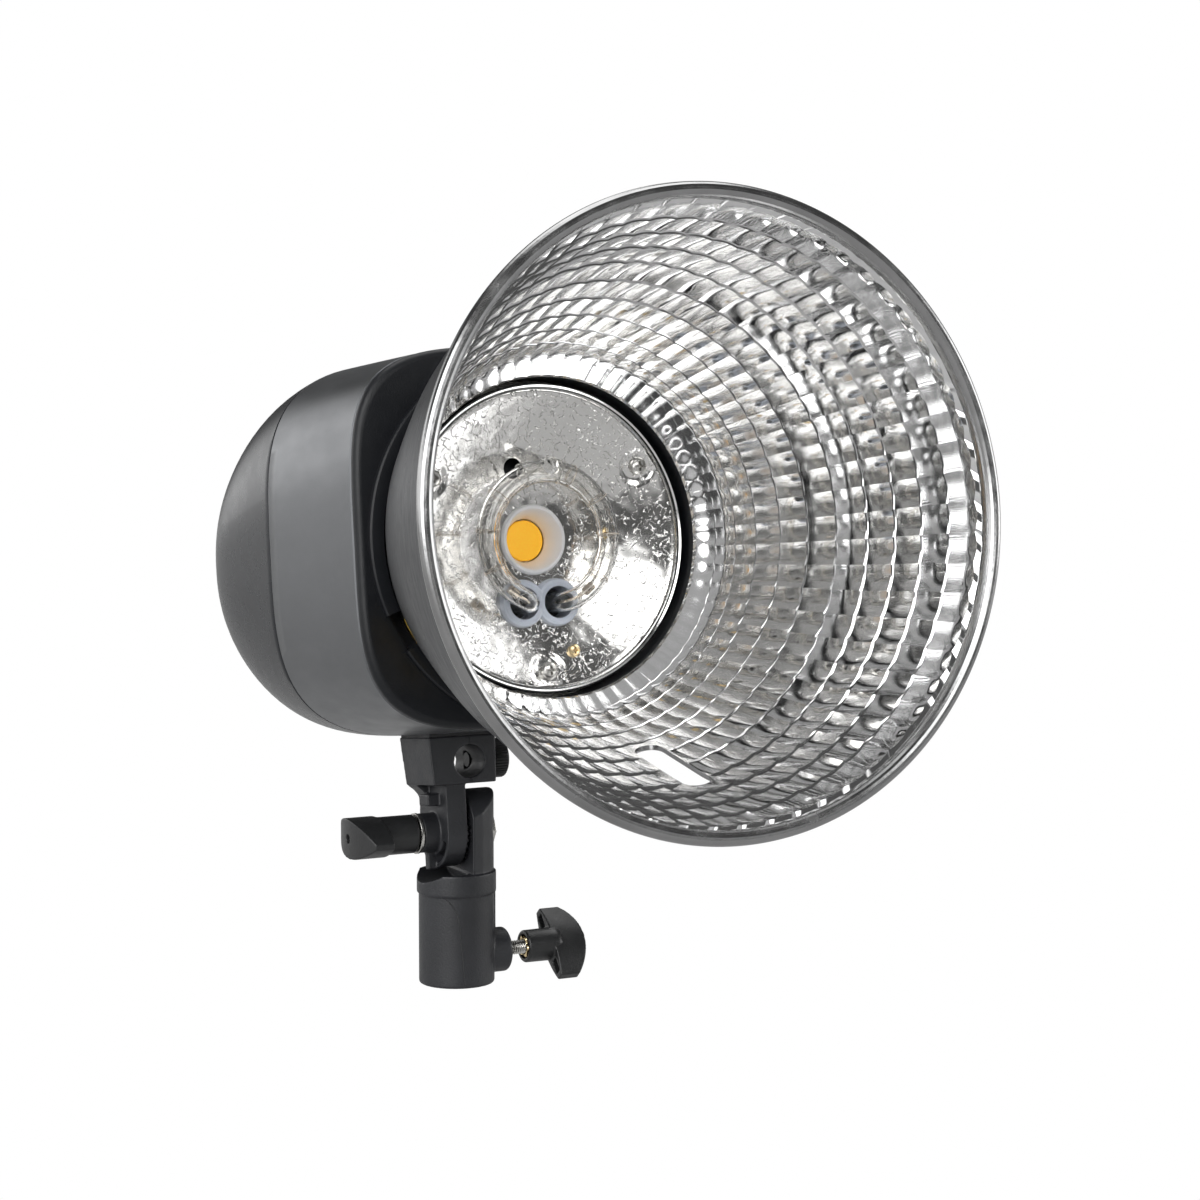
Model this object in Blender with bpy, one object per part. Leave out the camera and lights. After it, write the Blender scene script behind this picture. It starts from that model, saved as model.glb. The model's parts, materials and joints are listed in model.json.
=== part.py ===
"""Monolight studio strobe: a mains flash head on a tilting stand bracket, with a 7-inch reflector.

Lengths in this file are millimetres and are scaled to metres when a mesh is made. The origin is the
centre of the stand socket's mouth, +Z is up and the light leaves towards -Y. Three empties carry the
sub-parts: the stand frame, the head frame on the tilt axis, and the optics frame on the light's axis,
whose +Y is the depth behind the plane of the reflector's rim.
"""

import math

import bmesh
import bpy
from mathutils import Matrix, Vector

MM = 0.001
GAP = 0.3

# Stand bracket
PIVOT_HEIGHT = 50.0
HEAD_TILT = math.radians(6.74)
SPIGOT_BORE_R = 8.15
SOCKET_R = 12.35
SOCKET_HEIGHT = 30.0
COLLAR_R = 12.95
LOCK_HEIGHT = 9.2
LOCK_TURN = 49.0
BOLT_R = 4.0

# Head, measured from the tilt axis and from the rim plane
RIM_FORWARD = 189.4
AXIS_HEIGHT = 90.7
UMBRELLA_HEIGHT = 22.7
UMBRELLA_HOLE_R = 5.5

# Reflector
RIM_R = 89.0
RIM_STEPS = 44
BEAD_R = 2.2
SHEET = 1.3
NECK_R = 49.6
NECK_END = 119.0
FACET_ROWS = (
    (6.5, 84.2), (20.0, 80.3), (37.0, 76.5), (52.0, 72.8), (66.0, 68.2), (80.0, 63.0), (90.0, 59.4),
    (100.0, 55.0),
)
TWIST = math.radians(9.5)
LUG_ANGLES = (-182.0, -62.0, 58.0)
NOTCH_ANGLES = (-152.0, -32.0, 88.0)

# Housing
WALL = 2.5
BEZEL_FRONT = 111.3
BEZEL_BACK = 114.5
SEAM = 185.2
DOME_LENGTH = 75.0
DOME_CUT = 65.0
HALF_WIDTH = 61.0
OUTLINE_POINTS = 40
PANEL_FRONT = 243.8
PANEL_BACK = 246.3
PANEL_HALF = (50.2, 38.2)

# Lamp
DISC_R = 44.6
DISC_EDGE = 112.4
DISC_DEPTH = 8.5
RING_R = 20.3
TUBE_R = 3.2
RING_DEPTH = 109.5
LEG_X = 5.8
LEG_Z = -19.4

# Positions on the rear panel: x, z from the light's axis
DIAL_AT = (0.0, 14.0)
SYNC_AT = (24.0, 14.0)
LENS_AT = (-24.0, 14.0)
BUTTONS_AT = ((-14.0, -4.5), (0.0, -4.5), (14.0, -4.5))
CELL_AT = (0.0, 30.2)
INLET_AT = (-14.5, -21.5)
ROCKER_AT = (17.0, -21.5)
FUSE_AT = (38.0, 2.0)
ROD_ANGLES = (38.0, 142.0, 218.0, 322.0)

COLOURS = {
    "black_plastic": ((0.030, 0.031, 0.034), 0.45, 0.0),
    "grey_plastic": ((0.075, 0.078, 0.084), 0.50, 0.0),
    "housing_paint": ((0.120, 0.123, 0.128), 0.38, 0.3),
    "reflector_metal": ((0.56, 0.56, 0.57), 0.22, 1.0),
    "bright_metal": ((0.75, 0.75, 0.74), 0.18, 1.0),
    "steel": ((0.52, 0.52, 0.52), 0.30, 1.0),
    "brass": ((0.80, 0.62, 0.30), 0.25, 1.0),
    "glass": ((0.92, 0.94, 0.95), 0.05, 0.0),
    "white_ceramic": ((0.82, 0.84, 0.88), 0.40, 0.0),
    "white_plastic": ((0.86, 0.86, 0.86), 0.35, 0.0),
    "phosphor": ((0.93, 0.62, 0.08), 0.55, 0.0),
    "red_lens": ((0.60, 0.03, 0.02), 0.12, 0.0),
    "circuit_green": ((0.03, 0.18, 0.08), 0.40, 0.0),
    "capacitor_sleeve": ((0.03, 0.05, 0.14), 0.35, 0.0),
    "copper": ((0.72, 0.35, 0.20), 0.30, 1.0),
}


def material(name):
    """The Principled material of this name, made once."""
    if name in bpy.data.materials:
        return bpy.data.materials[name]
    colour, roughness, metallic = COLOURS[name]
    made = bpy.data.materials.new(name)
    made.use_nodes = True
    shader = made.node_tree.nodes["Principled BSDF"]
    shader.inputs["Base Color"].default_value = (*colour, 1.0)
    shader.inputs["Roughness"].default_value = roughness
    shader.inputs["Metallic"].default_value = metallic
    return made


def empty(name, at, turn=(0.0, 0.0, 0.0), parent=None):
    """A frame that carries sub-parts, at a place in millimetres."""
    made = bpy.data.objects.new(name, None)
    made.location = Vector(at) * MM
    made.rotation_euler = turn
    made.parent = parent
    bpy.context.scene.collection.objects.link(made)
    return made


def place(name, bm, parent, finish):
    """Turns a bmesh in millimetres into an object of the scene."""
    bmesh.ops.recalc_face_normals(bm, faces=bm.faces)
    bmesh.ops.scale(bm, vec=(MM, MM, MM), verts=bm.verts)
    mesh = bpy.data.meshes.new(name)
    bm.to_mesh(mesh)
    bm.free()
    mesh.shade_smooth()
    mesh.set_sharp_from_angle(angle=math.radians(32))
    mesh.materials.append(material(finish))
    made = bpy.data.objects.new(name, mesh)
    made.parent = parent
    bpy.context.scene.collection.objects.link(made)
    return made


def loft(rings, closed=False):
    """A bmesh through rings of points, joined end to end or capped at both ends."""
    bm = bmesh.new()
    made = [[bm.verts.new(point) for point in ring] for ring in rings]
    pairs = list(zip(made, made[1:]))
    if closed:
        pairs.append((made[-1], made[0]))
    else:
        bm.faces.new(made[0])
        bm.faces.new(made[-1])
    for low, high in pairs:
        for i in range(len(low)):
            j = (i + 1) % len(low)
            bm.faces.new((low[i], low[j], high[j], high[i]))
    return bm


def circle(radius, along, steps, axis, centre=(0.0, 0.0)):
    """Points of a circle at a distance along an axis. The centre is in the other two coordinates."""
    points = []
    for i in range(steps):
        angle = 2 * math.pi * i / steps
        points.append(on_axis(along, centre[0] + radius * math.cos(angle),
                              centre[1] + radius * math.sin(angle), axis))
    return points


def on_axis(along, first, second, axis):
    """A point from its distance along an axis and its two other coordinates, in X, Y, Z order."""
    if axis == "X":
        return (along, first, second)
    if axis == "Y":
        return (first, along, second)
    return (first, second, along)


def turned(profile, axis, steps=24, centre=(0.0, 0.0), ring=False):
    """A turned bmesh. The profile lists (along, radius); a ring's profile closes on itself."""
    return loft([circle(r, along, steps, axis, centre) for along, r in profile], closed=ring)


def rod(start, end, radius, axis, steps=18, centre=(0.0, 0.0), chamfer=0.0):
    """A cylinder along an axis, with chamfered ends where asked."""
    if chamfer:
        profile = [(start, radius - chamfer), (start + chamfer, radius),
                   (end - chamfer, radius), (end, radius - chamfer)]
    else:
        profile = [(start, radius), (end, radius)]
    return turned(profile, axis, steps, centre)


def tube(start, end, inner, outer, axis, steps=24, centre=(0.0, 0.0), chamfer=0.0):
    """A hollow cylinder along an axis."""
    profile = [(start, inner), (start, outer - chamfer), (start + chamfer, outer),
               (end - chamfer, outer), (end, outer - chamfer), (end, inner)]
    if not chamfer:
        profile = [(start, inner), (start, outer), (end, outer), (end, inner)]
    return turned(profile, axis, steps, centre, ring=True)


def block(low, high, bevel=0.0):
    """A box between two corners, with its edges rounded off where asked."""
    bm = bmesh.new()
    bmesh.ops.create_cube(bm, size=1.0)
    size = Vector(high) - Vector(low)
    middle = (Vector(high) + Vector(low)) / 2
    bmesh.ops.scale(bm, vec=size, verts=bm.verts)
    bmesh.ops.translate(bm, vec=middle, verts=bm.verts)
    if bevel:
        bmesh.ops.bevel(bm, geom=bm.edges[:], offset=bevel, segments=1, affect="EDGES")
    return bm


def prism(outline, start, end, axis):
    """An outline, given in the two coordinates across an axis, extruded along it."""
    return loft([[on_axis(along, *point, axis) for point in outline] for along in (start, end)])


def helper(name, bm, parent):
    """A cutter or a body to join, left out of the model itself."""
    made = place(name, bm, parent, "steel")
    made.hide_render = True
    made.display_type = "WIRE"
    return made


def boolean(target, operation, *shapes):
    """Applies bmeshes to an object, one Boolean each, in the object's own frame."""
    for number, bm in enumerate(shapes):
        kept = len(target.modifiers)
        other = helper(f"{target.name}_{operation.lower()}_{kept}_{number}", bm, target.parent)
        modifier = target.modifiers.new(f"{operation.lower()}_{kept}", "BOOLEAN")
        modifier.operation = operation
        modifier.solver = "EXACT"
        modifier.object = other


def superellipse(half_width, half_height, exponent, depth, lift=0.0, steps=OUTLINE_POINTS):
    """Points of a rounded rectangle across the light's axis."""
    points = []
    for i in range(steps):
        angle = 2 * math.pi * (i + 0.5) / steps
        cos = math.cos(angle)
        sin = math.sin(angle)
        x = half_width * math.copysign(abs(cos) ** (2 / exponent), cos)
        z = half_height * math.copysign(abs(sin) ** (2 / exponent), sin)
        points.append((x, depth, z + lift))
    return points


# Housing shells ------------------------------------------------------------------------------


def shell_ring(depth, inset=0.0):
    """The housing's outline at a depth behind the rim plane, moved inwards by an inset."""
    if depth <= SEAM:
        share = (depth - BEZEL_BACK) / (SEAM - BEZEL_BACK)
        half_height = 57.5 + 2.7 * share
        exponent = 4.15 - 0.65 * share
        lift = 0.7 + 0.5 * share
        return superellipse(HALF_WIDTH - inset, half_height - inset, exponent, depth, lift)
    back = depth - SEAM
    half_width = HALF_WIDTH * (1 - (back / DOME_LENGTH) ** 6) ** (1 / 6)
    half_height = 60.2 * (1 - (back / DOME_LENGTH) ** 3) ** (1 / 3)
    exponent = 3.5 - 1.2 * back / DOME_CUT
    lift = 1.2 - 1.7 * back / DOME_CUT
    return superellipse(half_width - inset, half_height - inset, exponent, depth, lift)


def sector_block(angle, half_angle, inner, outer, start, end):
    """A piece of a ring across the light's axis, centred on an angle in degrees."""
    outline = []
    for radius, turns in ((inner, (-1, 0, 1)), (outer, (1, 0, -1))):
        for side in turns:
            turn = math.radians(angle + side * half_angle)
            outline.append((radius * math.cos(turn), radius * math.sin(turn)))
    return prism(outline, start, end, "Y")


def front_bezel(optics):
    """The moulded front plate with the reflector's mouth and its three bayonet notches."""
    rings = [
        superellipse(59.0, 55.5, 4.15, BEZEL_FRONT, 0.7),
        superellipse(60.4, 56.9, 4.15, BEZEL_FRONT + 0.6, 0.7),
        superellipse(HALF_WIDTH, 57.5, 4.15, BEZEL_FRONT + 2.0, 0.7),
        superellipse(HALF_WIDTH, 57.5, 4.15, BEZEL_BACK, 0.7),
    ]
    bezel = place("front_bezel", loft(rings), optics, "black_plastic")
    boolean(bezel, "DIFFERENCE", rod(BEZEL_FRONT - 5, BEZEL_BACK + 5, 52.4, "Y", 48))
    for angle, outer in zip(NOTCH_ANGLES, (56.6, 56.6, 55.2)):
        boolean(bezel, "DIFFERENCE",
                sector_block(angle, 6.0, 50.0, outer, BEZEL_FRONT - 5, BEZEL_BACK + 5))


def bracket_screw_places():
    """The two screws that hold the bracket, one in each shell, as x and depth."""
    return [(x, y + RIM_FORWARD) for x, y in ((-10.3, -10.5), (7.4, 6.5))]


def mid_shell(optics):
    """The barrel of the housing between the bezel and the seam."""
    depths = (BEZEL_BACK + GAP, 116.0, 150.0, SEAM - 1.0, SEAM)
    insets = (0.6, 0.0, 0.0, 0.0, 0.7)
    rings = [shell_ring(depth, inset) for depth, inset in zip(depths, insets)]
    rings += [shell_ring(depth, WALL) for depth in (SEAM, 150.0, BEZEL_BACK + GAP)]
    shell = place("mid_shell", loft(rings, closed=True), optics, "housing_paint")
    for x, depth in bracket_screw_places():
        if depth < SEAM:
            boolean(shell, "DIFFERENCE", rod(-66.0, -50.0, 2.1, "Z", 16, (x, depth)))


def rear_cover(optics):
    """The domed rear housing, open at the back for the control panel."""
    start = SEAM + GAP
    outer = [shell_ring(start, 0.7), shell_ring(start + 0.8)]
    outer += [shell_ring(SEAM + back) for back in (20, 36, 49, 58, DOME_CUT - 1.2)]
    outer.append(shell_ring(SEAM + DOME_CUT, 1.2))
    mouth = [
        superellipse(51.2, 39.2, 2.4, SEAM + DOME_CUT, -0.5),
        superellipse(50.6, 38.6, 2.4, SEAM + DOME_CUT - 0.8, -0.5),
        superellipse(50.6, 38.6, 2.4, PANEL_FRONT - GAP, -0.5),
        superellipse(46.5, 34.6, 2.4, PANEL_FRONT - GAP, -0.5),
        superellipse(46.5, 34.6, 2.4, PANEL_FRONT - 2.0, -0.5),
    ]
    inner = [shell_ring(SEAM + back, WALL) for back in (50, 36)]
    inner.append(shell_ring(start, WALL))
    cover = place("rear_cover", loft(outer + mouth + inner, closed=True), optics, "grey_plastic")
    for x, depth in bracket_screw_places():
        if depth > SEAM:
            boolean(cover, "DIFFERENCE", rod(-66.0, -50.0, 2.1, "Z", 16, (x, depth)))


def rear_panel(optics):
    """The flat control panel, with a cut-out for each control and connector."""
    rings = [superellipse(*PANEL_HALF, 2.4, depth, -0.5) for depth in (PANEL_FRONT, PANEL_BACK)]
    panel = place("rear_panel", loft(rings), optics, "black_plastic")
    start = PANEL_FRONT - 4
    end = PANEL_BACK + 4
    holes = [(DIAL_AT, 3.6), (SYNC_AT, 4.9), (LENS_AT, 2.4), (CELL_AT, 3.9), (FUSE_AT, 5.2)]
    holes += [(at, 3.2) for at in BUTTONS_AT]
    for at, radius in holes:
        boolean(panel, "DIFFERENCE", rod(start, end, radius, "Y", 14, at))
    for (x, z), (half_x, half_z) in ((INLET_AT, (12.3, 8.3)), (ROCKER_AT, (9.7, 6.2))):
        boolean(panel, "DIFFERENCE", block((x - half_x, start, z - half_z), (x + half_x, end, z + half_z)))
    for x, z in rod_places():
        boolean(panel, "DIFFERENCE", rod(start, end, 1.9, "Y", 10, (x, z)))


def rod_places():
    """The four tie rods, as x and z from the light's axis."""
    return [(40.0 * math.cos(math.radians(a)), 37.8 * math.sin(math.radians(a)))
            for a in ROD_ANGLES]


def chassis(optics):
    """The bulkhead with its posts and the bayonet's seat, the panel's screws, and the bracket's plate."""
    rings = [superellipse(57.6, 54.2, 4.0, depth, 0.8) for depth in (127.0, 129.0)]
    bulkhead = place("front_bulkhead", loft(rings), optics, "steel")
    boolean(bulkhead, "DIFFERENCE", rod(120.0, 135.0, 12.6, "Y", 24))
    for side in (-1, 1):
        boolean(bulkhead, "DIFFERENCE", rod(120.0, 135.0, 4.4, "Y", 16, (side * LEG_X, LEG_Z)))
    boolean(bulkhead, "UNION", tube(120.6, 128.0, 48.4, 54.0, "Y", 32))
    for number, (x, z) in enumerate(rod_places(), 1):
        boolean(bulkhead, "UNION", rod(128.0, PANEL_FRONT - GAP, 2.6, "Y", 12, (x, z)))
        profile = [(PANEL_FRONT, 1.5), (PANEL_BACK + GAP, 1.5), (PANEL_BACK + GAP, 3.0),
                   (PANEL_BACK + 1.2, 3.0), (PANEL_BACK + 1.9, 1.9)]
        place(f"panel_screw_{number}", turned(profile, "Y", 10, (x, z)), optics, "steel")
    plate = place("chassis_plate", block((-15.0, 170.0, -55.3), (15.0, 206.0, -53.3)), optics, "steel")
    for number, (x, depth) in enumerate(bracket_screw_places(), 1):
        boolean(plate, "DIFFERENCE", rod(-60.0, -48.0, 1.9, "Z", 16, (x, depth)))
        profile = [(-63.4, 1.2), (-62.8, 1.5), (-53.0, 1.5), (-53.0, 2.9), (-51.4, 2.9), (-51.0, 2.3)]
        place(f"bracket_screw_{number}", turned(profile, "Z", 12, (x, depth)), optics, "steel")


# Reflector -----------------------------------------------------------------------------------


def reflector_profile():
    """The spun dish in section: the faceted inside, the rolled rim, the outside and the neck."""
    bead_centre = RIM_R - BEAD_R
    inside = [(NECK_END, NECK_R - SHEET), (106.0, NECK_R - SHEET)]
    inside += [(depth, radius) for depth, radius in reversed(FACET_ROWS)]
    bead = []
    for step in range(7):
        angle = math.radians(215 - 250 * step / 6)
        bead.append((BEAD_R - BEAD_R * math.sin(angle), bead_centre + BEAD_R * math.cos(angle)))
    outside = [(depth + 1.0, radius + SHEET) for depth, radius in FACET_ROWS[::2] + FACET_ROWS[-1:]]
    outside += [(106.6, NECK_R), (NECK_END, NECK_R)]
    return inside + bead + outside


def slot_outline():
    """The umbrella slot: a rounded strip, as points across (x) and along the depth."""
    half_width = 4.4
    points = []
    for end, start_angle in ((72.0, 0.0), (48.0, 180.0)):
        for step in range(5):
            angle = math.radians(start_angle + 45 * step)
            points.append((half_width * math.cos(angle), end + half_width * math.sin(angle)))
    return points


def reflector(optics):
    """The dish with its umbrella slot, and the collar with three bayonet lugs on its neck."""
    twist = empty("reflector_frame", (0.0, 0.0, 0.0), parent=optics)
    bowl = turned(reflector_profile(), "Y", RIM_STEPS, ring=True)
    bowl = place("reflector_bowl", bowl, twist, "reflector_metal")
    slot = loft([[(x, depth, z) for x, depth in slot_outline()] for z in (-95.0, -50.0)])
    bmesh.ops.rotate(slot, verts=slot.verts, matrix=Matrix.Rotation(-TWIST, 3, "Y"))
    boolean(bowl, "DIFFERENCE", slot)
    collar = place("reflector_collar", tube(113.0, 118.5, NECK_R + GAP, 50.9, "Y", RIM_STEPS), twist, "steel")
    for angle in LUG_ANGLES:
        boolean(collar, "UNION", sector_block(angle, 5.0, 50.2, 54.4, 116.0, 118.2))


def bayonet(optics):
    """The spring ring that holds the reflector's lugs against the bezel."""
    place("bayonet_spring", tube(119.4, 120.2, 48.6, 54.0, "Y", 32), optics, "steel")


# Lamp ----------------------------------------------------------------------------------------


def disc_depth(radius):
    """The depth of the lamp disc's front face at a radius: a shallow dish."""
    return DISC_EDGE + DISC_DEPTH * (1 - (radius / DISC_R) ** 2)


def lamp_base(optics):
    """The moulded cup that carries the lamp, with the silver trim ring round its mouth."""
    profile = [(disc_depth(45.4) + 1.4, 46.0), (126.7, 46.0), (126.7, 11.0), (124.2, 11.0),
               (124.2, 33.0), (disc_depth(33.0) + 1.4, 34.0)]
    base = place("lamp_base", turned(profile, "Y", 36, ring=True), optics, "black_plastic")
    for side in (-1, 1):
        boolean(base, "DIFFERENCE", rod(120.0, 130.0, 4.4, "Y", 16, (side * LEG_X, LEG_Z)))
    for x, z in disc_screw_places() + clip_screw_places()[:1]:
        boolean(base, "DIFFERENCE", rod(110.0, 124.3, 1.8, "Y", 10, (x, z)))
    place("trim_ring", tube(111.6, 113.3, 45.0, 47.2, "Y", RIM_STEPS), optics, "bright_metal")


def disc_screw_places():
    """The three screws near the disc's edge, as x and z from the light's axis."""
    return [(40.0 * math.cos(math.radians(a)), 40.0 * math.sin(math.radians(a))) for a in (32, 152, 270)]


def clip_screw_places():
    """The two small screws that hold the lamp holder from the front."""
    return [(9.3, -34.4), (23.1, 1.1)]


def base_disc(optics):
    """The crinkled metal dish behind the flash tube, with its screws."""
    radii = (9.0, 21.0, 33.0, DISC_R)
    front = [(disc_depth(radius), radius) for radius in radii]
    back = [(disc_depth(radius) + 0.8, radius) for radius in reversed(radii)]
    disc = place("base_disc", turned(front + back, "Y", 36, ring=True), optics, "bright_metal")
    boolean(disc, "DIFFERENCE", rod(105.0, 130.0, 10.9, "Y", 24))
    for side in (-1, 1):
        boolean(disc, "DIFFERENCE", rod(105.0, 130.0, 7.8, "Y", 18, (side * LEG_X, LEG_Z)))
    for number, (x, z) in enumerate(disc_screw_places(), 1):
        boolean(disc, "DIFFERENCE", rod(105.0, 130.0, 1.9, "Y", 12, (x, z)))
        profile = [(111.1, 1.6), (111.5, 2.6), (112.6, 2.6), (112.6, 1.5), (122.0, 1.5)]
        place(f"disc_screw_{number}", turned(profile, "Y", 12, (x, z)), optics, "steel")
    for number, (x, z) in enumerate(clip_screw_places(), 1):
        boolean(disc, "DIFFERENCE", rod(105.0, 130.0, 1.5, "Y", 12, (x, z)))
        face = disc_depth(math.hypot(x, z)) - 0.8
        profile = [(face - 1.0, 1.0), (face - 0.7, 1.9), (face, 1.9), (face, 1.1), (123.8, 1.1)]
        place(f"clip_screw_{number}", turned(profile, "Y", 8, (x, z)), optics, "brass")


def tube_path():
    """The flash tube's centre line: a leg, the open ring and the other leg."""
    bend = 5.0
    leg_angle = math.radians(-90) + LEG_X / RING_R
    start = leg_angle + bend / RING_R
    end = 2 * math.pi + 2 * math.radians(-90) - start
    half = [(leg_angle, 125.7)]
    for step in range(4):
        turn = math.radians(90 * step / 4)
        swing = leg_angle + bend * (1 - math.cos(turn)) / RING_R
        half.append((swing, RING_DEPTH + bend * (1 - math.sin(turn))))
    path = [on_ring(angle, depth) for angle, depth in half]
    turns = 24
    for step in range(turns + 1):
        path.append(on_ring(start + (end - start) * step / turns, RING_DEPTH))
    path += [Vector((-x, depth, z)) for x, depth, z in reversed(path[:5])]
    return path


def on_ring(angle, depth):
    """A point over the flash ring's centre line."""
    return Vector((RING_R * math.cos(angle), depth, RING_R * math.sin(angle)))


def pipe(path, radius, steps, closed=False):
    """A round bar swept along a path of points."""
    rings = []
    side = None
    for i, point in enumerate(path):
        before = path[i - 1] if closed or i > 0 else point
        after = path[(i + 1) % len(path)] if closed or i < len(path) - 1 else point
        along = (after - before).normalized()
        side = Vector((0.0, 1.0, 0.3)) if side is None else side
        side = (side - along * side.dot(along)).normalized()
        other = along.cross(side)
        turns = [2 * math.pi * step / steps for step in range(steps)]
        rings.append([point + side * radius * math.cos(a) + other * radius * math.sin(a) for a in turns])
    return loft(rings, closed)


def flash_tube(optics):
    """The ring-shaped xenon tube, its pins and socket, its grommets and its trigger wire."""
    lamp = place("flash_tube", pipe(tube_path(), TUBE_R, 10), optics, "glass")
    places = [(side * LEG_X, LEG_Z) for side in (-1, 1)]
    for at in places:
        boolean(lamp, "UNION", rod(125.0, 138.0, 1.0, "Y", 8, at))
    socket = place("tube_socket", block((-14.0, 129.4, -26.5), (14.0, 141.0, -13.0)), optics, "white_ceramic")
    for at in places:
        boolean(socket, "DIFFERENCE", rod(120.0, 150.0, 1.4, "Y", 12, at))
    left, right = (rod(115.6, 123.8, 7.4, "Y", 18, at, chamfer=0.8) for at in places)
    grommets = place("tube_grommets", left, optics, "white_ceramic")
    boolean(grommets, "UNION", right)
    for at in places:
        boolean(grommets, "DIFFERENCE", rod(110.0, 130.0, 4.7, "Y", 16, at))
    trigger_wire(optics)


def trigger_wire(optics):
    """The fine wire that fires the tube: a hoop inside the ring with turns round the glass."""
    wire = 0.3
    reach = TUBE_R + 0.3 + wire
    hoop = [Vector(((RING_R - reach) * math.cos(a), RING_DEPTH, (RING_R - reach) * math.sin(a)))
            for a in (math.radians(-50 + 280 * step / 24) for step in range(25))]
    whole = place("trigger_wire", pipe(hoop, wire, 4), optics, "steel")
    for turn in (-40, 5, 50, 100, 150, 185, 215):
        angle = math.radians(turn)
        out = Vector((math.cos(angle), 0.0, math.sin(angle)))
        loop = [out * (RING_R + reach * math.cos(a)) + Vector((0.0, RING_DEPTH + reach * math.sin(a), 0.0))
                for a in (2 * math.pi * step / 9 for step in range(9))]
        boolean(whole, "UNION", pipe(loop, wire, 4, closed=True))


def modelling_lamp(optics):
    """The LED modelling light: its white cup, its chip and the heat sink behind."""
    profile = [(119.4, 8.9), (118.9, 9.6), (119.4, 10.5), (124.0, 10.5), (126.6, 10.4), (126.6, 6.6)]
    place("led_cup", turned(profile, "Y", 24, ring=True), optics, "white_plastic")
    place("led_chip", rod(126.9, 128.4, 6.2, "Y", 24), optics, "phosphor")
    sink = place("led_heatsink", rod(128.7, 152.0, 11.6, "Y", 20), optics, "bright_metal")
    for x in (-7.5, -2.5, 2.5, 7.5):
        boolean(sink, "DIFFERENCE", block((x - 1.5, 134.0, -20.0), (x + 1.5, 156.0, 20.0)))


# Inside the housing --------------------------------------------------------------------------


def electronics(optics):
    """The flash capacitors, the power board with its trigger coil, the transformer and the control board."""
    for name, side in (("flash_capacitor_left", -1), ("flash_capacitor_right", 1)):
        profile = [(158.0, 12.0), (159.0, 13.2), (161.0, 14.0), (224.0, 14.0), (225.0, 13.3)]
        place(name, turned(profile, "Y", 20, (side * 15.0, 18.0)), optics, "capacitor_sleeve")
    power = place("power_board", block((-38.0, 134.0, -41.0), (38.0, 214.0, -39.4)), optics, "circuit_green")
    boolean(power, "UNION", rod(150.0, 172.0, 7.0, "Y", 16, (25.5, -33.5)))
    place("transformer", block((-16.0, 150.0, -39.1), (16.0, 180.0, -12.0), 1.5), optics, "copper")
    board = place("control_board", block((-27.0, 232.0, -9.5), (27.0, 233.6, 33.0)), optics, "circuit_green")
    for x, z in BUTTONS_AT:
        boolean(board, "UNION", block((x - 3.0, 233.0, z - 3.0), (x + 3.0, 235.6, z + 3.0)))


def rear_controls(optics):
    """The dial, buttons, lamp lens, sensor dome and sockets on the rear panel."""
    x, z = DIAL_AT
    profile = [(233.9, 8.0), (241.0, 8.0), (241.0, 3.0), (255.0, 3.0)]
    place("dial_potentiometer", turned(profile, "Y", 12, (x, z)), optics, "steel")
    profile = [(PANEL_BACK + GAP, 3.4), (PANEL_BACK + GAP, 12.0), (257.2, 11.2), (258.4, 10.2), (258.4, 0.8),
               (255.6, 0.8), (255.6, 3.4)]
    dial = place("power_dial", turned(profile, "Y", 18, (x, z), ring=True), optics, "black_plastic")
    boolean(dial, "UNION", block((x - 0.7, 250.0, z + 8.0), (x + 0.7, 258.8, z + 11.4)))
    for name, (x, z) in zip(("test_button", "lamp_button", "slave_button"), BUTTONS_AT):
        profile = [(238.0, 2.9), (PANEL_BACK + 1.6, 2.9), (PANEL_BACK + 2.2, 2.3)]
        place(name, turned(profile, "Y", 12, (x, z)), optics, "white_plastic")
    profile = [(240.0, 2.1), (PANEL_BACK + GAP, 2.1), (PANEL_BACK + 1.4, 1.5)]
    place("indicator_lens", turned(profile, "Y", 12, LENS_AT), optics, "red_lens")
    dome = [(240.0, 3.6), (PANEL_BACK + 0.6, 3.6), (PANEL_BACK + 2.2, 3.1), (PANEL_BACK + 3.4, 1.9),
            (PANEL_BACK + 3.9, 0.6)]
    place("slave_cell_dome", turned(dome, "Y", 14, CELL_AT), optics, "red_lens")
    profile = [(236.0, 3.4), (236.0, 4.6), (PANEL_BACK + GAP, 4.6), (PANEL_BACK + GAP, 6.4),
               (PANEL_BACK + 1.6, 6.0), (PANEL_BACK + 1.6, 3.4)]
    place("sync_socket", turned(profile, "Y", 18, SYNC_AT, ring=True), optics, "steel")


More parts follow.
